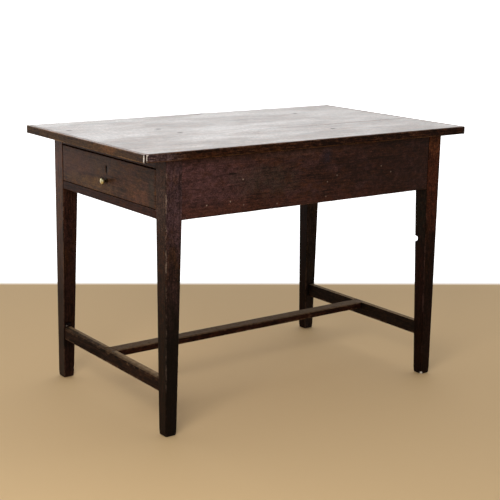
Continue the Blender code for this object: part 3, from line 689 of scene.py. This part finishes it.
# The right front leg: red below the apron and dark under that, its end greenish above, reddish below
near_right_zones = tinted(
    ((0.46, -0.3015, 0.60), (0.06, 0.04, 0.18), (84, 42, 27), 0.7),
    ((0.46, -0.3015, 0.715), (0.06, 0.04, 0.05), (98, 58, 36), 0.6),
    ((0.46, -0.3015, 0.22), (0.06, 0.04, 0.20), (43, 26, 22), 0.6))
near_right_end_zones = tinted(
    ((0.44, -0.28, 0.50), (0.06, 0.06, 0.11), (30, 25, 18), 0.8),
    ((0.44, -0.28, 0.30), (0.06, 0.06, 0.12), (48, 23, 17), 0.6))

# Painted shadow under the stretcher's joint in the back left leg
painted_shadow_under_joint = tinted(((-0.462, 0.264, 0.104), (0.024, 0.02, 0.022), (8, 5, 4), 1.0))

# The strips: rust in the middle, and a darker end towards the near corner
strip_zones = tinted(
    ((-0.556, -0.14, 0.752), (1, 0.05, 0.012), (122, 78, 44), 0.5),
    ((-0.556, -0.29, 0.750), (1, 0.06, 0.05), (56, 43, 37), 0.85))

# The top's front edge: ashen at the near corner, then ochre, and two dark lengths
edge_regions = tinted(
    ((-0.50, -0.3215, 0.75), (0.070, 1, 0.05), (74, 58, 61), 0.9),
    ((-0.435, -0.3215, 0.75), (0.035, 1, 0.05), (68, 43, 28), 0.6),
    ((0.035, -0.3215, 0.745), (0.07, 1, 0.012), (20, 11, 9), 0.7),
    ((-0.365, -0.3215, 0.755), (0.045, 1, 0.010), (24, 13, 11), 0.75))


def front_edge_zones(net, colour):
    """Slanting streaks over the front edge, pale at the near corner and ochre beyond."""
    colour = edge_regions(net, colour)
    streaks = net.noise(net.stretched(streak_stretch, turn=(0, streak_slant, 0)), detail=5, roughness=0.65)
    tint = net.mix(net.span(net.place[X], *ashen_end), srgb(126, 104, 98), srgb(82, 54, 36))
    colour = net.mix(net.span(streaks, *pale_streaks), colour, tint)
    return net.mix(net.span(streaks, *dark_streaks), colour, srgb(12, 6, 4))


def front_edge_marks(net, look):
    """Pale scuffs and painted glints at the near corner."""
    scuffs = net.spots(board_scuffs_and_glints, 1.0, board_scuff_stretch, soft=0.4, ragged=0.6)
    chafed = net.spots(board_chafes_and_glints, 1.0, board_chafe_stretch, soft=0.4, ragged=0.6)
    look.colour = net.mix(net.larger(scuffs, chafed), look.colour, srgb(226, 216, 208))


def apron_marks(net, look):
    """Flecks of pale paint, most of them faint."""
    for places, share in ((pale_flecks, 0.85), (faint_flecks, 0.48)):
        flecks = net.spots(places, fleck_radius, soft=0.6, ragged=0.45, fineness=900)
        look.colour = net.mix(net.times(flecks, share), look.colour, srgb(160, 140, 128))


def drawer_marks(net, look):
    """Painted shade, black, inside the keyhole, with a rim of grime and painted shade about it."""
    about = net.spots([keyhole_place], 1.0, keyhole_stretch, soft=0.3)
    inside = net.span(net.place[X], *[keyhole_place[X] + depth for depth in keyhole_depths])
    rim = net.times(net.spots([keyhole_place], 1.0, keyhole_rim_stretch, soft=0.4), keyhole_rim_grime_and_shade)
    look.colour = net.mix(net.larger(net.times(about, inside), rim), look.colour, srgb(4, 3, 2))


def near_right_marks(net, look):
    """A painted glint on the foot."""
    fleck = net.spots([foot_glint_place], foot_glint_radius, soft=0.3, ragged=0.4)
    look.colour = net.mix(fleck, look.colour, srgb(232, 228, 220))


def far_left_marks(net, look):
    """Painted shadow under the stretcher's joint, and a pale spot in the empty slot over it: bare wood with a
    painted glint.
    """
    bare = net.spots([slot_bare_and_glint_place], slot_bare_and_glint_radius, soft=0.5, ragged=0.3)
    look.colour = net.mix(bare, painted_shadow_under_joint(net, look.colour), srgb(190, 176, 160))


def rubbed_and_lit_top(strength, outer=None):
    """Marks for a stretcher's top, painted pale as wood that feet have rubbed and as painted light from
    above, most of all near the front.

    Where the X of an outer arris is given, the top stays dark beside it, and most of it towards the back.
    """
    def marks(net, look):
        scuff = net.noise(net.position, scale=85, detail=6, roughness=0.7)
        rubbed = net.times(net.span(scuff, *rub_scuffs, 0.5 * strength, strength),
                           net.span(net.attribute("arris"), 0.35, 1, 1, 0.7))
        rubbed = net.times(rubbed, net.span(net.place[Y], *rub_fades, 1, 0.8))
        if outer:
            inwards = net.add(net.place[X], net.span(scuff, *noise_range, -outer_ragged, outer_ragged))
            fore = net.span(inwards, *[outer + reach for reach in outer_fore], 0.2, 1)
            aft = net.span(inwards, *[outer + reach for reach in outer_aft], 0.15, 1)
            backness = net.span(net.place[Y], *outer_fades)
            across = net.add(fore, net.times(net.math("SUBTRACT", aft, fore), backness))
            rubbed = net.times(rubbed, across)
        # Pale rubbed wood and painted light on the top
        look.colour = net.mix(rubbed, look.colour, srgb(152, 125, 92))
    return marks


def strip_marks(net, look):
    """Dark end grain towards the front, and a pale scuff with a painted glint down the arris beside it."""
    end_grain = net.span(net.place[Y], *end_grain_y, 0.85, 0)
    look.colour = net.mix(end_grain, look.colour, srgb(44, 32, 30))
    scuffs = net.spots(strip_scuffs_and_glints, 1.0, strip_scuff_stretch, soft=0.4, ragged=0.55)
    look.colour = net.mix(scuffs, look.colour, srgb(224, 218, 212))


def board_marks(net, look):
    """The knots of the top, a dark split in its back edge, and a haze in the polish that varies."""
    knots = net.spots(top_knots, 1.0, knot_stretch, soft=0.6, ragged=0.35, fineness=190)
    hearts = net.spots(top_knots, 0.45, knot_stretch, soft=0.6, ragged=0.5, fineness=400)
    knot_colour = net.mix(hearts, srgb(34, 19, 13), srgb(10, 6, 5))
    split = net.spots(back_edge_marks, 1.0, back_edge_stretch, soft=0.5, ragged=0.3)
    knots = net.larger(knots, split)
    look.colour = net.mix(net.times(knots, knot_share), look.colour, knot_colour)
    look.roughness = net.add(look.roughness, net.times(knots, knot_roughness), clamp=True)
    hazy = net.spots(hazy_places, 1.0, hazy_stretch, soft=1.0)
    clear = net.spots(clear_places, 1.0, clear_stretch, soft=1.0)
    haze = net.noise(net.stretched(along(X, *haze_scales)), detail=7, roughness=0.66)
    haze = net.math("SUBTRACT", net.add(haze, net.times(hazy, haze_gain)), net.times(clear, haze_loss))
    fades = ((haze, 0.38, 0.60, 0.62, 1.26),
             (net.place[X], *polish_fades, 1, polish_at_right),
             (knots, 0, 1, 1, 0.45),
             (split, 0, 1, 1, 0.2),
             (net.attribute("arris"), 0.2, 0.9, 1, 0.35))
    for value, *ends in fades:
        look.polish = net.times(look.polish, net.span(value, *ends))


# The polish of the top: how its haze varies, and how it fades towards the right
haze_scales = (5, 14)
haze_gain = 0.12
haze_loss = 0.14
hazy_places = [(-0.47, 0.03, 0.76), (-0.12, -0.03, 0.76)]
hazy_stretch = (1 / 0.16, 1 / 0.08, 1)
clear_places = [(-0.10, 0.22, 0.76), (-0.26, 0.14, 0.76), (0.12, -0.27, 0.76), (0.36, -0.27, 0.76),
                (-0.40, -0.26, 0.76)]
clear_stretch = (1 / 0.18, 1 / 0.09, 1)
polish_fades = (-0.10, 0.50)
polish_at_right = 0.71

# Knots, a split, streaks, scuffs with painted glints, and end grain of the top
top_knots = [(-0.273, 0.066, 0.76), (-0.260, -0.027, 0.76), (0.306, 0.177, 0.76), (0.175, -0.166, 0.76),
             (-0.507, 0.156, 0.76)]
knot_stretch = (1 / 0.010, 1 / 0.011, 1 / 0.03)
knot_share = 0.92
knot_roughness = 0.35
back_edge_marks = [(0.026, 0.3205, 0.76)]
back_edge_stretch = (1 / 0.027, 1 / 0.020, 1 / 0.012)
streak_slant = math.radians(25)
streak_stretch = (40, 40, 300)
pale_streaks = (0.52, 0.62, 0, 0.55)
dark_streaks = (0.36, 0.46, 0.75, 0)
ashen_end = (-0.46, -0.43)
end_grain_y = (-0.3205, -0.3185)
strip_scuffs_and_glints = [(-0.5553, -0.3205, 0.7490)]
strip_scuff_stretch = (1 / 0.0022, 1 / 0.0020, 1 / 0.0125)
board_scuffs_and_glints = [(-0.5476, -0.3215, 0.7500)]
board_scuff_stretch = (1 / 0.0019, 1 / 0.0030, 1 / 0.0115)
board_chafes_and_glints = [(-0.5460, -0.3215, 0.7572)]
board_chafe_stretch = (1 / 0.0042, 1 / 0.0030, 1 / 0.0026)

# Marks on the apron, the legs, the stretchers and the drawer front
fleck_radius = 0.0027
apron_face = -0.3005
pale_flecks = [(x, apron_face, z) for x, z in ((-0.355, 0.610), (-0.280, 0.613), (-0.240, 0.668))]
faint_flecks = [(x, apron_face, z) for x, z in (
    (-0.237, 0.600), (-0.126, 0.592), (0.044, 0.595), (0.082, 0.651), (0.048, 0.636), (0.246, 0.664),
    (0.284, 0.644), (0.434, 0.719))]
# A painted glint at the right front foot
foot_glint_place = (0.4475, -0.3005, 0.0040)
foot_glint_radius = 0.0050
# The pale spot in the empty slot over the left stretcher: bare wood with a painted glint
slot_bare_and_glint_place = (-0.4694, 0.2639, 0.1642)
slot_bare_and_glint_radius = 0.0036
# Where the stretchers' tops are painted pale, as rubbed wood and painted light, and how that fades towards
# the back
rub_scuffs = (0.34, 0.55)
rub_fades = (-0.12, 0.12)
outer_ragged = 0.002
outer_fore = (0.001, 0.008)
outer_aft = (0.008, 0.013)
outer_fades = (-0.08, 0.02)
# The keyhole: painted shade inside it, and grime and painted shade round it
keyhole_place = (-0.4780, 0.0, 0.6715)
keyhole_depths = (0.0001, 0.0007)
keyhole_stretch = (1 / 0.080, 1 / 0.0075, 1 / 0.0220)
keyhole_rim_stretch = (1 / 0.080, 1 / 0.0052, 1 / 0.0160)
keyhole_rim_grime_and_shade = 0.94

# The woods: their deep, middle, light, bloom, amber and worn colours
front_edge_tone = wood(
    (10, 4, 2), (36, 18, 11), (68, 40, 24), (38, 20, 15), (54, 28, 14), (100, 70, 48),
    wear=0.5, gloss=0.045)
frame_tone = wood(
    (18, 8, 7), (52, 31, 27), (74, 46, 38), (64, 42, 42), (66, 38, 25), (104, 72, 52),
    wear=0.5, grain=0.6, mottling=0.9, size=0.65)
leg_tone = wood(
    (20, 11, 9), (52, 36, 30), (74, 54, 44), (64, 46, 42), (64, 44, 28), (140, 112, 90),
    wear=0.6, dark_low=0.72, grain=0.75, mottling=0.8, size=0.7)
drawer_tone = wood(
    (28, 18, 15), (66, 48, 40), (86, 64, 52), (78, 56, 50), (86, 60, 38), (104, 78, 60),
    wear=0.2, grain=0.7, mottling=0.8, shade=0.35, size=0.7)
edge_tone = wood(
    (40, 26, 16), (68, 48, 32), (90, 66, 42), (72, 54, 40), (88, 62, 37), (150, 116, 80),
    wear=0.7, grain=0.6, mottling=0.7, shade=0.6, gloss=0.05, size=0.7)
top_tone = wood(
    (70, 46, 34), (108, 78, 59), (130, 96, 74), (118, 88, 72), (116, 80, 54), (150, 88, 44),
    roughness=0.40, wear=0.7, coat=1.0, gloss=0.5, mottling=0.4, relief=2.5, size=2.0)
stretcher_tone = wood(
    (14, 8, 6), (36, 23, 16), (58, 39, 27), (42, 28, 22), (50, 32, 20), (104, 80, 60),
    roughness=0.72, wear=0.65, gloss=0.06, mottling=0.7, rub=0.08)
inner_tone = wood(
    (98, 70, 45), (128, 95, 62), (150, 114, 77), (134, 101, 71), (140, 103, 65), (164, 132, 98),
    roughness=0.7, wear=0.3, grain=0.8, mottling=0.45)
bare_tone = inner_tone.times(0.56, 0.50, 0.45)
near_worn = srgb(128, 110, 99)
red_worn = srgb(112, 86, 80)


def make_camera():
    """A camera from the yaw, pitch and roll that fit the photograph's edges."""
    forward = Vector((-math.sin(camera_yaw) * math.cos(camera_pitch),
                      math.cos(camera_yaw) * math.cos(camera_pitch), math.sin(camera_pitch)))
    right = forward.cross(Vector((0, 0, 1))).normalized()
    up = right.cross(forward)
    rolled_right = right * math.cos(camera_roll) + up * math.sin(camera_roll)
    rolled_up = up * math.cos(camera_roll) - right * math.sin(camera_roll)
    turn = Matrix((rolled_right, rolled_up, -forward)).transposed()
    lens = bpy.data.cameras.new("camera")
    lens.sensor_width = sensor_width
    lens.lens = sensor_width * focal_pixels / frame_pixels
    lens.clip_start = camera_clip
    camera = placed("camera", lens)
    camera.matrix_world = Matrix.Translation(camera_place) @ turn.to_4x4()
    bpy.context.scene.camera = camera


def make_floor():
    """A plain pale floor that turns white where the wall stands behind the table."""
    mesh = bpy.data.meshes.new("floor")
    corners = [(floor_reach * x, floor_reach * y, 0) for x, y in ((-1, -1), (1, -1), (1, 1), (-1, 1))]
    mesh.from_pydata(corners, [], [(0, 1, 2, 3)])
    floor = placed("floor", mesh)
    net = Shader("floor_paint")
    behind = net.add(net.times(net.place[X], -math.sin(wall_yaw)),
                     net.times(net.place[Y], math.cos(wall_yaw)))
    colour = net.mix(net.span(behind, *wall_foot), floor_colour, wall_colour)
    net.put("Base Color", colour)
    net.put("Roughness", floor_roughness)
    net.put("Specular IOR Level", floor_gloss)
    net.put("Emission Color", (1, 1, 1, 1))
    net.put("Emission Strength", net.span(behind, *wall_foot))
    mesh.materials.append(net.material)


def make_light():
    """The room's light from all round, and a window as a lamp."""
    world = bpy.data.worlds.new("room")
    bpy.context.scene.world = world
    world.use_nodes = True
    room = Nodes(world.node_tree)
    direction = room.node("TexCoord")["Generated"]
    towards = room.between("DOT_PRODUCT", direction, (-math.sin(camera_yaw), math.cos(camera_yaw), 0))
    height = room.node("SeparateXYZ", {0: direction})[Z]
    wall = room.span(towards, *wall_cosines, room_level, wall_level, interpolation_type="SMOOTHSTEP")
    band = room.span(height, *band_heights, 1.0, above_band, interpolation_type="SMOOTHSTEP")
    seen = room.node("LightPath")["Is Camera Ray"]
    background = room.tree.nodes["Background"].inputs
    room.feed(background["Strength"], room.larger(room.times(wall, band), seen))
    room.feed(background["Color"], (1, 1, 1, 1))

    lamp = bpy.data.lights.new("window", "AREA")
    lamp.shape = "RECTANGLE"
    lamp.size, lamp.size_y = window_size
    lamp.energy = window_watts
    lamp.color = window_colour
    holder = placed("window", lamp)
    holder.location = window_place
    backwards = Vector(window_place) - Vector(window_aim)
    holder.rotation_euler = backwards.to_track_quat("Z", "Y").to_euler()
    holder.visible_camera = False


def paint(piece, material):
    """Gives the whole piece one material."""
    piece.data.materials.clear()
    piece.data.materials.append(material)


def paint_facing(piece, direction, material):
    """Gives the faces that look along a direction a material of their own."""
    piece.data.materials.append(material)
    for face in piece.data.polygons:
        if face.normal.dot(Vector(direction)) > facing_cosine:
            face.material_index = len(piece.data.materials) - 1


def metal(net, colour, roughness, speck):
    """Finishes a metal with its colour, roughness and fine relief."""
    net.put("Base Color", colour)
    net.put("Roughness", roughness)
    net.put("Metallic", 1)
    net.bump(speck, *metal_relief)
    return net.material


def dull_iron():
    """Dark iron, darker still in cloudy patches."""
    net = Shader("iron")
    speck = net.noise(net.stretched((1, 1, 1)), scale=400, detail=4)
    cloud = net.noise(net.stretched((1, 1, 1)), scale=60, detail=3)
    colour = net.mix(net.span(cloud, *iron_clouds), iron_bright, iron_dark)
    return metal(net, colour, net.span(speck, *noise_range, *iron_roughness), speck)


def knob_brass():
    """Bright on the head, dull in its middle, darker round its rim as painted shade, and nearly black on the
    neck and foot, tarnished and with painted shade.
    """
    net = Shader("knob_brass")
    speck = net.noise(net.position, scale=500, detail=5, roughness=0.7)
    edge = net.add(net.place[X], net.span(speck, *noise_range, -neck_ragged, neck_ragged))
    # Tarnished brass and painted shade on the neck and foot
    tarnish_and_shade = net.span(edge, *knob_neck)
    colour = net.mix(net.span(speck, 0.42, 0.66, 0, 0.6), brass_bright, brass_deep)
    low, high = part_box("drawer_knob")
    middle = [0, (low[Y] + high[Y]) / 2, (low[Z] + high[Z]) / 2]
    from_axis = net.between("DISTANCE", net.stretched((0, 1, 1)), middle)
    from_axis = net.add(from_axis, net.span(speck, *noise_range, -rim_ragged, rim_ragged))
    # Dull in the middle, and darker round the rim as painted shade
    dull = net.larger(net.span(from_axis, *knob_shaded_rim, 0, 0.85), net.span(from_axis, *knob_middle, 0.5, 0))
    colour = net.mix(tarnish_and_shade, net.mix(dull, colour, brass_dull), brass_black)
    roughness = net.add(net.span(speck, *noise_range, *brass_roughness), net.times(tarnish_and_shade, neck_roughness))
    return metal(net, colour, roughness, speck)


def joint_openness(place):
    """0 where the joint between the two boards is still tight, 1 where it has opened."""
    return min(1.0, max(0.0, (place[X] - joint_opens) / joint_opening))


def board_edge_wear(place):
    """The front edge of the top is the most knocked about, and nothing is worn where the joint is tight."""
    if abs(place[Y] - joint_corner[Y]) < 4 * joint_reach:
        return tight_joint_wear * (1 - joint_openness(place))
    return front_edge_wear if place[Y] < front_edge_y else other_edge_wear


def leg_wear(place):
    """Feet are rounded all round, and the arris at the near corner of the table is worn away most."""
    radius = foot_radius * max(0.0, 1 - place[Z] / foot_height)
    if place[X] < near_corner[X] and place[Y] < near_corner[Y]:
        radius += near_corner_wear
    return radius


def left_settled(place):
    """The left stretcher has sunk towards the front."""
    return stretcher_sink * (stretcher_reach - place[Y]) / (2 * stretcher_reach)


def middle_settled(place):
    """The middle stretcher has sunk with it at its left end."""
    return stretcher_sink / 2 * (lap_reach - place[X]) / (2 * lap_reach)


def bare_arris(left, right, spans, between, others):
    """How bare a leg's arrises are.

    The front arris between two X differs by spans of height and between them, and the others are alike.
    """
    def bare(place):
        if not left < place[X] < right or place[Y] > front_arris_y:
            return others
        for bottom, top, share in spans:
            if bottom < place[Z] < top:
                return share
        return between
    return bare


# Worn arrises: bottom, top and bareness of each span of the front ones
front_arris_y = -0.285
near_spans = ((0.596, 0.652, 1.35), (0.550, 0.567, 1.15), (0.494, 0.511, 1.3), (0.449, 0.470, 1.35),
              (0.384, 0.411, 0.95), (0.12, 0.30, 1.0))
near_bare = bare_arris(-1, -0.46, near_spans, 0.6, 0.2)
right_spans = ((0.30, 0.41, 1.3), (0.20, 0.30, 1.1))
right_bare = bare_arris(0.42, 0.458, right_spans, 0.55, 0.6)

# Where the edges, feet and corners are worn, and how far two stretchers have sunk
front_edge_y = -0.30
front_edge_wear = 0.0012
other_edge_wear = 0.0004
near_corner = (-0.472, -0.2945)
near_corner_wear = 0.0012
foot_radius = 0.0036
foot_height = 0.016
foot_levels = (0.0010, 0.0034, 0.0068)
stretcher_sink = 0.0040
stretcher_reach = 0.264
lap_reach = 0.465

# The metals, the knob's neck, tarnished and with painted shade, as two X, and its dull middle and its rim
# darkened as painted shade, as distances from its axis
iron_bright = (0.16, 0.15, 0.14, 1)
iron_dark = (0.072, 0.0675, 0.063, 1)
iron_clouds = (0.35, 0.7)
iron_roughness = (0.42, 0.62)
brass_bright = (0.89, 0.83, 0.50, 1)
brass_deep = (0.46, 0.38, 0.17, 1)
brass_dull = (0.13, 0.10, 0.05, 1)
brass_black = (0.040, 0.026, 0.012, 1)
brass_roughness = (0.26, 0.42)
metal_relief = (0.0001, 0.4)
knob_neck = (-0.4874, -0.4856)
neck_ragged = 0.0012
neck_roughness = 0.25
rim_ragged = 0.0004
knob_shaded_rim = (0.0070, 0.0084)
knob_middle = (0.0010, 0.0020)

# The chip in the right front leg's inner back arris
chip_place = Vector((0.4350, -0.2575, 0.4215))
chip_outward = Vector((-1, 1, 0)).normalized()
chip_depth = 0.0085
chip_half_length = 0.0095
right_front_chip = (chip_place, chip_outward, chip_depth, chip_half_length)
chip_shares = (-1, -0.66, -0.33, 0, 0.33, 0.66, 1)
chip_levels = tuple(chip_place[Z] + chip_half_length * share for share in chip_shares)

# How far off the table's axes the heart of each wood's tree lies
board_edge_pith = (0, 0.04, 0.03)
board_pith = (0, 0.06, 0.05)
strip_pith = (0.02, 0, 0.03)
leg_pith = (0.03, 0.04, 0)
frame_pith = (0.05, 0.05, 0.02)
plain_pith = (0.03, 0.03, 0.03)
drawer_pith = (0.04, 0, 0.06)

make_camera()
make_floor()
make_light()
bpy.context.scene.view_settings.view_transform = "Standard"

board_wear = Wear(0.007, dents=0.0022, dent_length=0.010, swell=0.0002, seed=3.0, extra=board_edge_wear)
for place, side in enumerate(("front", "back")):
    board = aged("top_board_" + side, "table", X, board_wear, cross=(Y, 0.02))
    paint(board, old_wood("top_edge_" + side, X, front_edge_tone, 2.5 + place, board_edge_pith,
                          front_edge_zones, front_edge_marks))
    paint_facing(board, (0, 0, 1), old_wood("top_" + side, X, top_tone, 1.0 + place, board_pith,
                                            None, board_marks))
    paint_facing(board, (0, 0, -1), old_wood("top_underside_" + side, X, bare_tone, 1.0 + place, board_pith))
for place, end in enumerate(("left", "right")):
    strip = aged("end_strip_" + end, "table", Y, Wear(0.006, dents=0.0016, seed=7.0 + place))
    paint(strip, old_wood("strip_" + end, Y, edge_tone, 3.0 + place, strip_pith, strip_zones, strip_marks))
    paint_facing(strip, (0, 0, 1), old_wood("strip_top_" + end, Y, top_tone, 3.0 + place, strip_pith,
                                            None, board_marks))

apron_insides = {"apron_front": (0, 1, 0), "apron_back": (0, -1, 0), "apron_right": (-1, 0, 0)}
# Each leg's wood, and a copy of it with painted light and shade for the end faces that look along -X, lighter
# or darker by how the light falls there
leg_looks = {
    "leg_front_left": (
        leg_tone.times(1.12, 1.02, 1.14, wear=0.9, dark_low=0.90, shade=0.3, rub=-0.10, mottling=1.05,
                       grain=0.9, gloss=0.09, worn=near_worn),
        leg_tone.times(0.84, 0.65, 0.52, wear=0.9, dark_low=0.71, rub=-0.10, mottling=1.35, grain=1.0,
                       gloss=0.07, worn=near_worn),
        near_left_zones, near_left_end_zones, None, 0.0034, near_bare),
    "leg_front_right": (
        leg_tone.times(0.53, 0.38, 0.30, gloss=0.045, dark_low=0.5, wear=0.36, mottling=1.1, worn=red_worn),
        leg_tone.times(0.33, 0.22, 0.17, gloss=0.035, dark_low=0.4, wear=0.36, mottling=1.1, worn=red_worn),
        near_right_zones, near_right_end_zones, near_right_marks, 0.0026, right_bare),
    "leg_back_left": (
        leg_tone.times(0.84, 0.63, 0.60, gloss=0.06, wear=0.3, dark_low=0.5, mottling=0.8),
        leg_tone.times(2.05, 1.76, 1.58, wear=0.4, dark_low=0.72, mottling=0.6),
        None, None, far_left_marks, 0.0022, None),
    "leg_back_right": (
        leg_tone.times(0.80, 0.90, 0.95, gloss=0.05, wear=0.25, dark_low=0.5),
        leg_tone.times(0.43, 0.29, 0.20, gloss=0.035, wear=0.25, dark_low=0.5),
        None, None, None, 0.0022, None),
}
for place, (name, looks) in enumerate(leg_looks.items()):
    tone, end_light_and_shade_tone, zones, end_zones, marks, painted, bare = looks
    chips = (right_front_chip,) if name == "leg_front_right" else ()
    wear = Wear(0.009, radius=0.0006, dents=0.0007, swell=0.00008, seed=11.0 + place, extra=leg_wear,
                chips=chips, painted=painted, bare=bare)
    leg = aged(name, "table", Z, wear, levels=foot_levels + (chip_levels if chips else ()))
    paint(leg, old_wood(name + "_wood", Z, tone, 5.0 + place, leg_pith, zones, marks))
    # The end faces get the copy of the wood with painted light and shade
    paint_facing(leg, (-1, 0, 0), old_wood(name + "_end", Z, end_light_and_shade_tone, 5.3 + place, leg_pith,
                                           end_zones, marks))

frame_pieces = (
    ("apron_front", X, frame_tone.times(1.0, 0.96, 0.94, shade=0.3, grain=0.6, mottling=0.95),
     apron_zones, apron_marks),
    ("apron_back", X, frame_tone),
    ("apron_right", Y, frame_tone),
    ("drawer_rail_upper", Y, frame_tone),
    ("drawer_rail_lower", Y, frame_tone.times(0.80, 0.71, 0.55, gloss=0.06)),
)
for place, (name, axis, tone, *marked) in enumerate(frame_pieces):
    board = aged(name, "table", axis, Wear(0.012, seed=17.0 + place), cross=(Z, 0.025))
    paint(board, old_wood(name + "_wood", axis, tone, 9.0 + place, frame_pith, *marked))
    if name in apron_insides:
        paint_facing(board, apron_insides[name],
                     old_wood(name + "_inside", axis, bare_tone, 9.0 + place, frame_pith))
# Each stretcher's wood, how it settled, and how strongly its top is painted pale, as rubbed wood and painted
# light from above
stretchers = (
    ("stretcher_left", Y, stretcher_tone.times(0.90, 0.84, 0.78), left_settled, 1.0),
    ("stretcher_right", Y, stretcher_tone.times(0.55, 0.58, 0.54), None, 0.85),
    ("stretcher_middle", X, stretcher_tone.times(0.97, 0.60, 0.50), middle_settled, 0.41),
)
for place, (name, axis, tone, settle, rubbed) in enumerate(stretchers):
    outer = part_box(name)[0][X] if name == "stretcher_left" else None
    wear = Wear(0.008, radius=0.0008, seed=23.0 + place, settle=settle, painted=0.0048)
    rail = aged(name, "table", axis, wear)
    paint(rail, old_wood(name + "_wood", axis, tone, 14.0 + place, plain_pith))
    paint_facing(rail, (0, 0, 1), old_wood(name + "_top", axis, tone, 14.5 + place, plain_pith,
                                           None, rubbed_and_lit_top(rubbed, outer)))
front = aged("drawer_front", "drawer", Y, Wear(0.010, radius=0.0009, dents=0.0004, seed=29.0),
             cross=(Z, 0.02))
paint(front, old_wood("drawer_front_wood", Y, drawer_tone.times(0.90, 0.79, 0.70, gloss=0.08), 18.0,
                      drawer_pith, drawer_zones, drawer_marks))

brass = knob_brass()
iron = dull_iron()
inner = {axis: old_wood("inner_wood_" + axis_names[axis], axis, inner_tone, 20.0 + axis, plain_pith)
         for axis in (X, Y, Z)}
for name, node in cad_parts.items():
    if node.hide_render:
        continue
    low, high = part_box(name)
    if name == "drawer_knob":
        paint(node, brass)
    elif "screw" in name or "nail" in name or name.startswith("lock") or name == "knob_nut":
        paint(node, iron)
    else:
        size = high - low
        paint(node, inner[max((X, Y, Z), key=lambda axis: size[axis])])
